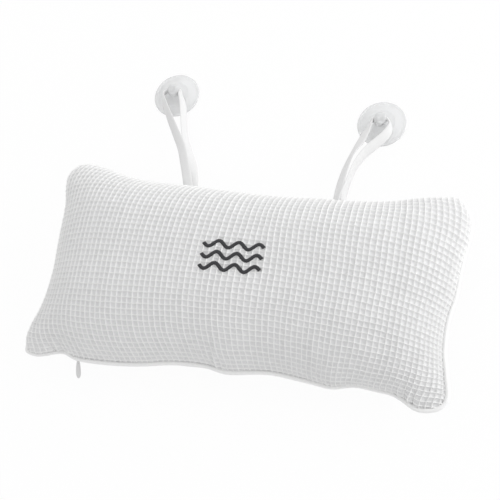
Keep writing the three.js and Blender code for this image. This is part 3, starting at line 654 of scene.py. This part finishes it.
def add_node(m, kind, **values):
    n = m.node_tree.nodes.new(kind)
    for key, value in values.items():
        if hasattr(n, key):
            setattr(n, key, value)
        else:
            n.inputs[key.replace("_", " ")].default_value = value
    return n


def link(m, a, b):
    m.node_tree.links.new(a, b)


def maths(m, operation, *values):
    """The output of a Math node on sockets or numbers."""
    n = add_node(m, "ShaderNodeMath", operation=operation)
    for socket, value in zip(n.inputs, values):
        if isinstance(value, bpy.types.NodeSocket):
            link(m, value, socket)
        else:
            socket.default_value = value
    return n.outputs[0]


def bumped(m, height, strength, distance):
    bump = add_node(m, "ShaderNodeBump", Strength=strength, Distance=distance)
    link(m, height, bump.inputs["Height"])
    link(m, bump.outputs[0], m.node_tree.nodes["Principled BSDF"].inputs["Normal"])


def thread_bump(m, scale, distance, coordinates="UV"):
    """Fine crossing threads and loose fibres as bump; gives the fibres' value."""
    place = add_node(m, "ShaderNodeTexCoord")
    split = add_node(m, "ShaderNodeSeparateXYZ")
    link(m, place.outputs[coordinates], split.inputs[0])
    waves = [maths(m, "SINE", maths(m, "MULTIPLY", split.outputs[axis], scale)) for axis in "XY"]
    fibre = add_node(m, "ShaderNodeTexNoise", Scale=900.0, Detail=4.0)
    link(m, place.outputs["Object"], fibre.inputs["Vector"])
    total = maths(m, "ADD", maths(m, "MULTIPLY", *waves), fibre.outputs[0])
    bumped(m, total, 0.5, distance)
    return fibre.outputs[0]


def tinted(m, value, low, high):
    """Base colour that runs between two colours with a value."""
    blend = add_node(m, "ShaderNodeMix", data_type="RGBA")
    link(m, value, blend.inputs[0])
    blend.inputs[6].default_value = (*low, 1)
    blend.inputs[7].default_value = (*high, 1)
    link(m, blend.outputs[2], m.node_tree.nodes["Principled BSDF"].inputs["Base Color"])


def waffle_material():
    m = material("waffle", (0.88, 0.88, 0.875), 0.9, Sheen_Weight=0.15, Sheen_Roughness=0.5)
    thread_bump(m, scale=950.0, distance=0.00006)
    # Painted shade: the base colour runs from 0.91 on the ridges to 0.79 deep in the hollows, for the shadow
    # that falls in them.
    hollow = add_node(m, "ShaderNodeAttribute", attribute_name="hollow")
    tinted(m, hollow.outputs["Fac"], (0.91, 0.91, 0.905), (0.79, 0.79, 0.795))
    return m


def cloth_material(name, colour, shade, coordinates="Object", scale=5200.0):
    m = material(name, colour, 0.88, Sheen_Weight=0.12, Sheen_Roughness=0.5)
    fibre = thread_bump(m, scale, 0.00005, coordinates)
    tinted(m, fibre, shade, colour)
    return m


WAFFLE = waffle_material()
PIPING = cloth_material("piping", (0.9, 0.9, 0.895), (0.84, 0.84, 0.84))
CASING = cloth_material("casing", (0.88, 0.88, 0.87), (0.82, 0.82, 0.81))
WADDING = cloth_material("wadding", (0.93, 0.93, 0.92), (0.88, 0.88, 0.87), scale=900.0)
CORD = cloth_material("cord", (0.86, 0.86, 0.84), (0.78, 0.78, 0.76), scale=2600.0)
TAPE = cloth_material("strap_tape", (0.82, 0.82, 0.82), (0.74, 0.74, 0.74), "UV", 3000.0)
ZIP_TAPE = cloth_material("zip_tape", (0.86, 0.86, 0.85), (0.78, 0.78, 0.78), scale=6200.0)
THREAD = cloth_material("thread", (0.06, 0.06, 0.065), (0.03, 0.03, 0.034), scale=9000.0)


def plastic_material(name, colour, roughness, **sockets):
    m = material(name, colour, roughness, **sockets)
    grain = add_node(m, "ShaderNodeTexNoise", Scale=420.0, Detail=3.0)
    place = add_node(m, "ShaderNodeTexCoord")
    link(m, place.outputs["Object"], grain.inputs["Vector"])
    bumped(m, grain.outputs[0], 0.12, 0.0001)
    return m


COIL = plastic_material("zip_coil", (0.84, 0.84, 0.83), 0.35)
ENAMEL = plastic_material("slider_enamel", (0.72, 0.72, 0.72), 0.3, Metallic=0.2, Coat_Weight=0.4)
CUP = plastic_material("cup", (0.93, 0.935, 0.94), 0.24, Transmission_Weight=0.45, IOR=1.4)


# Zip tapes of the solids, in directions along them, across them and out of them

ZIP_X = np.array([0.99956, 0.02967, 0.0])
ZIP_Y = np.array([0.01572, -0.52969, 0.84805])
ZIP_OUT = np.array([0.02516, -0.84767, -0.52992])


def zip_box(name):
    """Lowest and highest reach of a node in the zip's directions."""
    p = points_of(nodes[name])
    local = np.stack([p @ ZIP_X, p @ ZIP_Y, p @ ZIP_OUT], axis=1)
    return local.min(0), local.max(0)


TAPE_BOXES = [zip_box(name) for name in ("zip_tape_front", "zip_tape_back")]
TAPE_LOW = np.min([low for low, _ in TAPE_BOXES], axis=0)
TAPE_HIGH = np.max([high for _, high in TAPE_BOXES], axis=0)
PAST_ENDS, PAST_BACK, PAST_FRONT = 9, 7, 2.5  # how far past the tapes the panel is still drawn in
TAPE_GAP = 1.0


def behind_zip(grid):
    """Back panel drawn in where the zip lies on it."""
    along, across, out = grid @ ZIP_X, grid @ ZIP_Y, grid @ ZIP_OUT
    inside = step(TAPE_LOW[0] - PAST_ENDS, TAPE_LOW[0], along)
    inside *= step(-TAPE_HIGH[0] - PAST_ENDS, -TAPE_HIGH[0], -along)
    inside *= step(TAPE_LOW[1] - PAST_BACK, TAPE_LOW[1], across)
    inside *= step(-TAPE_HIGH[1] - PAST_FRONT, -TAPE_HIGH[1], -across)
    past = np.clip(out - (TAPE_LOW[2] - TAPE_GAP), 0, None) * inside
    return grid - past[..., None] * ZIP_OUT


def rest_on_floor(grid):
    """Back panel flattened softly where it lies on the floor."""
    low, soft = FLOOR_Z + 0.5, 0.8
    grid = grid.copy()
    grid[..., 2] = low + soft * np.logaddexp(0, (grid[..., 2] - low) / soft)
    return grid


for name, grid, flip, seed, node in (
    ("front_cover", front_grid, False, 11, "cover_front"),
    ("back_cover", back_grid, True, 12, "cover_back"),
):
    obj = panel(name, grid, flip, seed)
    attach(obj, "pillow")
    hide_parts(node)


# Piping and its cord

def tube(path, section, up, closed=False):
    """Sweeps a section (n, k, 2) or (k, 2) along a path; its second axis leans towards up."""
    path = np.asarray(path, float)
    ahead = np.gradient(path, axis=0)
    if closed:
        ahead = np.roll(path, -1, axis=0) - np.roll(path, 1, axis=0)
    ahead = unit(ahead)
    side = unit(np.cross(ahead, up))
    top = np.cross(side, ahead)
    section = np.broadcast_to(section, (len(path), *np.shape(section)[-2:]))
    rings = path[:, None] + section[..., :1] * side[:, None] + section[..., 1:] * top[:, None]
    return skin(rings, closed)


def circle(radius, sides):
    a = np.arange(sides) / sides * 2 * math.pi
    return np.stack([np.cos(a), np.sin(a)], axis=1) * radius


def joined(parts):
    """One mesh's points and faces from several."""
    points, faces, base = [], [], 0
    for p, f in parts:
        points.append(p)
        faces += [tuple(int(i) + base for i in face) for face in f]
        base += len(p)
    return np.vstack(points), faces


def along_noise(count, waves, seed):
    """Smooth closed noise of one value per point."""
    rng = np.random.RandomState(seed)
    t = np.arange(count) / count * 2 * math.pi
    out = np.zeros(count)
    for k in waves:
        out += rng.normal(0, 1) * np.sin(k * t + rng.uniform(0, 2 * math.pi))
    return out / math.sqrt(len(waves))


PIPE_POINTS, PIPE_SIDES = 1500, 14
PIPE_WANDER, PIPE_SWELL = 0.4, 0.04  # up and down, and share of its radius
pipe_height = PIPE_WANDER * along_noise(len(PIPE_LINE), range(6, 26), 3) - mix(PIPE_DROP, TUCK)
pipe_path = evenly(np.column_stack([PIPE_LINE, pipe_height]), PIPE_POINTS)
pipe_size = 1 + PIPE_SWELL * along_noise(PIPE_POINTS, range(90, 260, 7), 4)
pipe_section = circle(PIPE_RADIUS, PIPE_SIDES)[None] * pipe_size[:, None, None]

# Cord of three twisted strands inside the piping
CORE_RADIUS, CORE_SIDES, CORE_TURNS, CORE_STRANDS, CORE_GROOVE = 0.95, 12, 330, 3, 0.12
turns = np.linspace(0, 2 * math.pi * CORE_TURNS, PIPE_POINTS, endpoint=False)
around = np.arange(CORE_SIDES) / CORE_SIDES * 2 * math.pi
lobes = 1 + CORE_GROOVE * np.cos(CORE_STRANDS * (around - turns[:, None]))
core_section = circle(CORE_RADIUS, CORE_SIDES)[None] * lobes[..., None]

for name, section, finish, node, slot in (
    ("piping", pipe_section, PIPING, "piping_sleeve", "piping_cloth"),
    ("piping_core", core_section, CORD, "piping_cord", "cord"),
):
    obj = mesh_object(name, *tube(pipe_path, section, UP, closed=True), finish)
    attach(obj, "pillow")
    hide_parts(node)


# Pad inside the cover

PAD_SHARE = (0.87, 0.89)  # of the cover's length and width
PAD_EDGE = 24  # how close to its own seam the pad keeps its height


def inner_body(name, depth, replaced, finish):
    """Closed pad inside the cover: both panels' coarse grids drawn in."""
    halves = []
    for grid, flip in ((front_grid, False), (rest_on_floor(back_grid), True)):
        pulled = grid[::SIM_PER_CELL, ::SIM_PER_CELL]
        rows, columns = pulled.shape[:2]
        u, v = np.meshgrid(np.linspace(-1, 1, columns), np.linspace(-1, 1, rows))
        pulled = pulled - surface_normals(pulled, u, v) * (-depth if flip else depth)
        pulled[..., :2] *= PAD_SHARE
        pulled[..., 2] *= 1 - np.maximum(np.abs(u), np.abs(v)) ** PAD_EDGE
        halves.append(pulled)
    top, bottom = halves
    seam = np.ones((rows, columns), bool)
    seam[1:-1, 1:-1] = False
    top[..., 2] = np.maximum(top[..., 2], 0)
    bottom[..., 2] = np.minimum(bottom[..., 2], 0)
    lower = np.arange(rows * columns).reshape(rows, columns) + rows * columns
    lower[seam] -= rows * columns
    quads = grid_faces(rows, columns)
    quads = np.vstack([quads, lower.reshape(-1)[quads[:, ::-1]]])
    used, quads = np.unique(quads, return_inverse=True)
    points = np.vstack([top.reshape(-1, 3), bottom.reshape(-1, 3)])[used]
    obj = mesh_object(name, points, quads.reshape(-1, 4), finish)
    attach(obj, "pillow")
    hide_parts(*replaced)


inner_body("pad_casing", 2.6, ("pad_casing_front", "pad_casing_back"), CASING)
inner_body("pad_wadding", 4.2, ("pad_filling",), WADDING)


# Embroidery threads lie on the front panel

front_faces = grid_faces(*front_grid.shape[:2]).tolist()
front_tree = BVHTree.FromPolygons(front_grid.reshape(-1, 3).tolist(), front_faces)
STITCHES, STITCH_POINTS, STITCH_SLANT = 165, 7, 0.28
THREAD_RADIUS, THREAD_SIDES, THREAD_LIFT, THREAD_ARCH = 0.25, 6, 0.15, 0.62
UNEVEN_ENDS, UNEVEN_LIFT = 0.09, 0.03
PADDING_SIDES, PADDING_INSET, PADDING_HALF_HEIGHT, PADDING_LIFT = 12, 0.15, 0.55, 0.2  # under the stitches


def on_front(x, y):
    return np.array(front_tree.ray_cast(Vector((x, y, 100)), Vector((0, 0, -1)))[0])


def satin_wave(name, row, seed):
    rng = np.random.RandomState(seed)
    line = evenly(wave_line(row, 400), STITCHES, closed=False)
    ahead = unit(np.gradient(line, axis=0))
    left = np.stack([-ahead[:, 1], ahead[:, 0]], axis=1)
    share = np.linspace(-1, 1, STITCH_POINTS)
    arch = THREAD_LIFT + THREAD_ARCH * np.sqrt(np.clip(1 - share**2, 0, 1))
    parts = []
    for p, a, n in zip(line, ahead, left):
        half = WAVE_WIDTH / 2 + rng.uniform(-UNEVEN_ENDS, UNEVEN_ENDS)
        flat = p + share[:, None] * (n * half + a * STITCH_SLANT)
        base = np.array([on_front(x, y) for x, y in flat])
        base[:, 2] += arch + rng.uniform(-UNEVEN_LIFT, UNEVEN_LIFT)
        parts.append(tube(base, circle(THREAD_RADIUS, THREAD_SIDES), UP))
    padding = np.array([on_front(x, y) for x, y in line]) + PADDING_LIFT * UP
    section = circle(1, PADDING_SIDES) * (WAVE_WIDTH / 2 - PADDING_INSET, PADDING_HALF_HEIGHT)
    parts.append(tube(padding, section, UP))
    obj = mesh_object(name, *joined(parts), THREAD)
    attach(obj, "pillow")
    return obj


for row, node in zip(WAVE_ROWS, ("embroidery_wave_lower", "embroidery_wave_middle", "embroidery_wave_upper")):
    obj = satin_wave(node.replace("embroidery", "satin"), row, int(row) + 40)
    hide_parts(node)


# Straps: one looped tape each, through the knob of its cup

TAPE_HALF, TAPE_THICK, TAPE_BOW = 4.9, 0.6, 0.35
TAPE_STEPS = 8
SIDE_THIN = 0.45  # thickness near the tape's edges as a share of its own
# Tape beside and inside the knob: way from its middle, half width, half thickness
KNOB_BESIDE, KNOB_INSIDE = (6.6, 2.3, 1.1), (3.2, 1.75, 1.3)

# Each ply has places from the seam to the knob, with the tape's lean there in degrees from lying flat
STRAPS = {
    "left": {
        "hole": (-121.0, 200.0, -27.2),
        "turn": math.radians(7),
        "root": (-72.0, 72.0, -6.5),
        "plies": (
            [
                (-73.6, 80.0, -5.6, 3), (-74.0, 86.2, -4.4, 6), (-76.4, 94, -4.0, 10),
                (-84.4, 113, -7.4, 14), (-93, 131.4, -11.1, 20), (-104.6, 149.2, -15.2, 32),
                (-117.6, 169.2, -20.0, 44), (-127.2, 185.4, -23.8, 58), (-130.8, 195.0, -26.4, 72),
            ],
            [
                (-70.8, 80.0, -6.8, 0), (-70.2, 86.2, -5.8, -2), (-70.8, 94, -5.9, -8),
                (-77.6, 113.3, -9.6, -36), (-87.2, 131.7, -13.4, -56), (-95.4, 149.7, -16.8, -66),
                (-102, 170.1, -20.8, -64), (-107.8, 186.5, -24.2, -62), (-112.8, 195.6, -26.6, -74),
            ],
        ),
    },
    "right": {
        "hole": (95.4, 182.0, -27.2),
        "turn": math.radians(5),
        "root": (74.5, 72.0, -6.5),
        "plies": (
            [
                (73.4, 79.0, -5.6, 6), (72.6, 86.6, -4.2, 24), (72.2, 104.1, -7.4, 34),
                (73.8, 123, -11.5, 44), (76.8, 138.9, -15.5, 50), (81, 151.2, -19, 30),
                (84.2, 163.8, -22.5, 32), (86.4, 174.6, -26, 56),
            ],
            [
                (75.6, 79.0, -6.8, -10), (76.6, 86.9, -5.6, -50), (78.3, 104.5, -9.0, -72),
                (81.2, 123.6, -12.9, -70), (87.4, 139.7, -16.4, -54), (96, 152.1, -19.6, -34),
                (104.4, 165, -22.5, -32), (106, 175.6, -26, -70),
            ],
        ),
    },
}


def ribbon_section(half, thick, bend):
    """Rounded flat tape section with soft edges."""
    x = np.array([0.97, 0.85, 0.5, 0, -0.5, -0.85, -0.97])
    rise = thick * np.where(np.abs(x) < 0.9, 1, SIDE_THIN)
    bow = bend * (1 - x * x)
    top = np.stack([half * x, rise + bow], axis=1)
    low = np.stack([-half * x, -rise + bow], axis=1)
    return np.vstack([[(half, 0)], top, [(-half, 0)], low])


def strap_rows(spec):
    """Stations of the whole loop: centre, width direction, half width, half thickness."""
    hole, root = np.array(spec["hole"]), np.array(spec["root"])
    axis = np.array([math.cos(spec["turn"]), math.sin(spec["turn"]), 0])
    plies = []
    for sign, ply in zip((-1, 1), spec["plies"]):
        places = np.array([p[:3] for p in ply])
        part = [(root - sign * TAPE_THICK * UP, axis, TAPE_HALF, TAPE_THICK)]
        for k, (place, lean) in enumerate(zip(places, np.radians([p[3] for p in ply]))):
            ahead = places[min(k + 1, len(ply) - 1)] - places[max(k - 1, 0)]
            flat = unit(np.cross(ahead, UP))
            lift = np.cross(flat, unit(ahead))
            narrow = np.interp(k - len(ply), [-3, -2, -1], [1, 0.9, 0.72])
            width = flat * math.cos(lean) + lift * math.sin(lean)
            part.append((place, width, TAPE_HALF * narrow, TAPE_THICK * (2.2 - 1.2 * narrow)))
        away, half, thick = KNOB_BESIDE
        part.append((hole + axis * sign * away, np.array([0, 0.1, -sign]), half, thick))
        plies.append(part)
    away, half, thick = KNOB_INSIDE
    through = [(hole + axis * k * away, np.array([0, 0.1, 1.0]), half, thick) for k in (-1, 0, 1)]
    back = [(place, -width, half, thick) for place, width, half, thick in plies[1][::-1]]
    return plies[0] + through + back


def fine_rows(rows):
    """The stations with smooth steps between them."""
    t = (np.arange(TAPE_STEPS) / TAPE_STEPS)[None, :, None]
    out = []
    for k in range(4):
        values = np.array([np.atleast_1d(r[k]) for r in rows], float)
        p = extended(values)[:, None]
        steps = catmull_rom(p[:-3], p[1:-2], p[2:-1], p[3:], t)
        out.append(np.vstack([steps.reshape(-1, values.shape[1]), values[-1:]]))
    return out


def make_strap(side):
    centre, width, half, thick = fine_rows(strap_rows(STRAPS[side]))
    ahead = unit(np.gradient(centre, axis=0))
    width = unit(width - (width * ahead).sum(1, keepdims=True) * ahead)
    up = np.cross(width, ahead)
    sizes = zip(half[:, 0], thick[:, 0])
    section = np.array([ribbon_section(h, t, TAPE_BOW * h / TAPE_HALF) for h, t in sizes])
    rings = centre[:, None] + section[..., :1] * width[:, None] + section[..., 1:] * up[:, None]
    obj = mesh_object(f"tape_{side}", *skin(rings), TAPE)
    run = np.broadcast_to(run_length(centre)[:, None], section.shape[:2])
    lay_flat(obj, "tape", np.dstack([section[..., 0], run]).reshape(-1, 2) * MM)
    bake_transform(obj)
    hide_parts(f"strap_{side}", f"strap_anchor_{side}")


for side in STRAPS:
    make_strap(side)


# Suction cups: turned profile with a pierced knob

CUP_SIDES, CUP_SHARP = 96, 40
HOLE_RADIUS, HOLE_SIDES, HOLE_REACH = 2.35, 32, 12
CUP_PROFILE = [
    (0.0, 4.6), (3.0, 4.55), (7.0, 4.1), (11.0, 3.35), (15.0, 2.3), (18.5, 1.1), (20.0, 0.15),
    (20.4, 0.0), (23.2, 0.0), (23.8, 0.2), (24.0, 0.55), (23.7, 0.95), (23.0, 1.15), (22.0, 1.2),
    (21.2, 1.25), (20.4, 1.5), (17.5, 2.9), (14.2, 4.1), (13.4, 4.5), (12.9, 4.55), (12.2, 4.5),
    (9.5, 5.1), (7.2, 5.55), (5.6, 6.1), (4.8, 6.9), (4.7, 7.6), (5.2, 8.2), (5.9, 8.7), (6.25, 9.5),
    (6.35, 11.0), (6.3, 12.6), (6.0, 13.9), (5.3, 14.8), (4.2, 15.3), (3.0, 15.45), (2.2, 15.3),
    (1.5, 15.05), (0.8, 14.95), (0.0, 14.9),
]


def lathe(profile, sides):
    """Turns a profile of (radius, height) about the upright axis, from its middle back to it."""
    r = np.array(profile)
    a = np.arange(sides) / sides * 2 * math.pi
    rings = np.array([[(q * math.cos(t), q * math.sin(t), z) for t in a] for q, z in r[1:-1]])
    points = np.vstack([[[0, 0, r[0, 1]]], rings.reshape(-1, 3), [[0, 0, r[-1, 1]]]])
    last = len(points) - 1
    index = 1 + np.arange(rings.shape[0] * sides).reshape(-1, sides)
    faces = ring_faces(index)
    faces += [(0, int(b), int(a)) for a, b in zip(index[0], np.roll(index[0], -1))]
    faces += [(last, int(a), int(b)) for a, b in zip(index[-1], np.roll(index[-1], -1))]
    return points, faces


def pierced(obj, place, turn):
    """Cuts the round hole through the knob."""
    ring = circle(HOLE_RADIUS, HOLE_SIDES)
    points = np.array([[x, y, z] for x in (-HOLE_REACH, HOLE_REACH) for y, z in ring])
    spin = np.array([[math.cos(turn), -math.sin(turn), 0], [math.sin(turn), math.cos(turn), 0], [0, 0, 1]])
    n = HOLE_SIDES
    faces = [(i, i + n, (i + 1) % n + n, (i + 1) % n) for i in range(n)]
    faces += [tuple(range(n)), tuple(range(2 * n - 1, n - 1, -1))]
    cutter = mesh_object("cutter", points @ spin.T + place, faces)
    cut_out = obj.modifiers.new("hole", "BOOLEAN")
    cut_out.operation = "DIFFERENCE"
    cut_out.solver = "EXACT"
    cut_out.object = cutter
    applied(obj, CUP_SHARP)
    bpy.data.objects.remove(cutter)


for side, spec in STRAPS.items():
    x, y, z = spec["hole"]
    points, faces = lathe(CUP_PROFILE, CUP_SIDES)
    cup = mesh_object(f"cup_{side}", points + (x, y, FLOOR_Z), faces, CUP)
    pierced(cup, np.array([x, y, z]), spec["turn"])
    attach(cup, f"cup_{side}")
    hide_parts(f"suction_cup_{side}")


# Zip

COIL_PITCH, COIL_END, COIL_GAP, COIL_LEAN = 1.45, 0.6, 0.3, 0.336
COIL_RADIUS, TOOTH_SWELL = 0.34, 0.1
LOOP_POINTS, LOOP_SIDES = 14, 6
WELD = 2e-6  # metres
BEVEL_ANGLE, HARD_SHARP = 35, 50


def zip_world(local):
    return local[..., :1] * ZIP_X + local[..., 1:2] * ZIP_Y + local[..., 2:] * ZIP_OUT


def zip_teeth(name, node, mesh_side):
    """Coil of teeth inside the node's bar; they meet at the bar's high side (1) or low side (-1)."""
    low, high = zip_box(node)
    count = int((high[0] - low[0] - COIL_END) / COIL_PITCH)
    centre, reach = (low[1:] + high[1:]) / 2, (high[1:] - low[1:]) / 2 - COIL_GAP
    angle = np.linspace(0, 2 * math.pi, LOOP_POINTS, endpoint=False)
    y = centre[0] + reach[0] * np.sign(np.cos(angle)) * np.abs(np.cos(angle)) ** 0.7 * mesh_side
    z = centre[1] + reach[1] * np.sin(angle)
    thick = COIL_RADIUS + TOOTH_SWELL * np.clip(np.cos(angle), 0, 1) ** 3
    parts = []
    for k in range(count):
        x = low[0] + COIL_END + COIL_PITCH * (k + 0.5 * (mesh_side > 0))
        path = zip_world(np.stack([x + COIL_LEAN * np.sin(angle), y, z], axis=1))
        parts.append(tube(path, circle(1, LOOP_SIDES)[None] * thick[:, None, None], ZIP_X, closed=True))
    obj = mesh_object(name, *joined(parts), COIL)
    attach(obj, "pillow")
    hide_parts(node)


def softened(name, node, width, body, finish):
    """A bevelled copy of a small hard node."""
    obj = new_object(name, nodes[node].data.copy())
    obj.data.materials.clear()
    obj.data.materials.append(finish)
    b = bmesh.new()
    b.from_mesh(obj.data)
    bmesh.ops.remove_doubles(b, verts=b.verts, dist=WELD)
    b.to_mesh(obj.data)
    b.free()
    bevel = obj.modifiers.new("bevel", "BEVEL")
    bevel.width = width * MM
    bevel.segments = 3
    bevel.limit_method = "ANGLE"
    bevel.angle_limit = math.radians(BEVEL_ANGLE)
    applied(obj, HARD_SHARP)
    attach(obj, body)
    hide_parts(node)


zip_teeth("zip_teeth_front", "zip_coil_front", -1)
zip_teeth("zip_teeth_back", "zip_coil_back", 1)
for node in ("zip_tape_front", "zip_tape_back"):
    nodes[node].data.materials[0] = ZIP_TAPE
for name, node, width, body, slot in (
    ("zip_end_left", "zip_stop_left", 0.3, "pillow", "zip_plastic"),
    ("zip_end_right", "zip_stop_right", 0.3, "pillow", "zip_plastic"),
    ("zip_runner", "zip_slider", 0.18, "slider", "slider_enamel"),
    ("zip_tab", "zip_pull", 0.2, "pull", "slider_enamel"),
    ("zip_wire", "zip_pull_ring", 0.1, "pull_ring", "slider_enamel"),
):
    softened(name, node, width, body, ENAMEL if slot == "slider_enamel" else COIL)


# Stage: white floor that keeps a soft shadow, white surroundings, a key from the right and a lamp behind

FLOOR_HALF, FLOOR_DROP = 4000, 0.3
FLOOR_WHITE = 0.95  # share of plain white in what the camera, glass and metal see of the floor
SKY = 0.83
AIM = (0, 0, 0.03)


def mixed(m, share, first, second, output):
    """Sends a mix of two shaders to the output."""
    shown = add_node(m, "ShaderNodeMixShader")
    for value, socket in zip((share, first.outputs[0], second.outputs[0]), shown.inputs):
        link(m, value, socket)
    link(m, shown.outputs[0], output.inputs["Surface"])


def floor_material():
    m = material("floor", (0.93, 0.93, 0.93), 0.95)
    glow = add_node(m, "ShaderNodeEmission", Strength=1.0)
    ray = add_node(m, "ShaderNodeLightPath")
    mirrored = maths(m, "MAXIMUM", ray.outputs["Is Glossy Ray"], ray.outputs["Is Transmission Ray"])
    seen = maths(m, "MAXIMUM", ray.outputs["Is Camera Ray"], mirrored)
    own = m.node_tree.nodes
    mixed(m, maths(m, "MULTIPLY", seen, FLOOR_WHITE), own["Principled BSDF"], glow, own["Material Output"])
    return m


floor_points = [
    (x * FLOOR_HALF, y * FLOOR_HALF, FLOOR_Z - FLOOR_DROP) for x, y in ((-1, -1), (1, -1), (1, 1), (-1, 1))
]
floor = mesh_object("floor", floor_points, [(0, 1, 2, 3)], floor_material())

world = bpy.data.worlds.new("studio")
bpy.context.scene.world = world
world.use_nodes = True
sky = world.node_tree.nodes["Background"]
sky.inputs["Color"].default_value = (1, 1, 1, 1)
sky.inputs["Strength"].default_value = SKY
white = add_node(world, "ShaderNodeBackground", Color=(1, 1, 1, 1), Strength=1.0)
ray = add_node(world, "ShaderNodeLightPath")
mixed(world, ray.outputs["Is Camera Ray"], sky, white, world.node_tree.nodes["World Output"])


def area_light(name, place, size, power):
    data = bpy.data.lights.new(name, "AREA")
    data.shape = "DISK"
    data.size = size
    data.energy = power
    obj = new_object(name, data)
    obj.location = place
    obj.rotation_euler = (Vector(AIM) - Vector(place)).to_track_quat("-Z", "Y").to_euler()


area_light("key", place=(1.6, 0.7, 0.74), size=1.6, power=14.5)
area_light("back", place=(-0.5, 1.4, 0.9), size=1.2, power=2)

# Camera fitted to the photograph
CAMERA_RIGHT = (0.953968, 0.185146, -0.235937)
CAMERA_UP = (-0.093887, 0.931517, 0.351370)
CAMERA_BACK = (0.284834, -0.313045, 0.906020)
CAMERA_PLACE = (288.456, -288.903, 915.406 + SEAM_Z)
CAMERA_SENSOR, CAMERA_LENS = 36, 79.147
camera_data = bpy.data.cameras.new("camera")
camera_data.sensor_width = CAMERA_SENSOR
camera_data.lens = CAMERA_LENS
camera = new_object("camera", camera_data)
turned = Matrix((CAMERA_RIGHT, CAMERA_UP, CAMERA_BACK)).transposed().to_4x4()
camera.matrix_world = Matrix.Translation(Vector(CAMERA_PLACE) * MM) @ turned
bpy.context.scene.camera = camera
bpy.context.scene.view_settings.view_transform = "Standard"
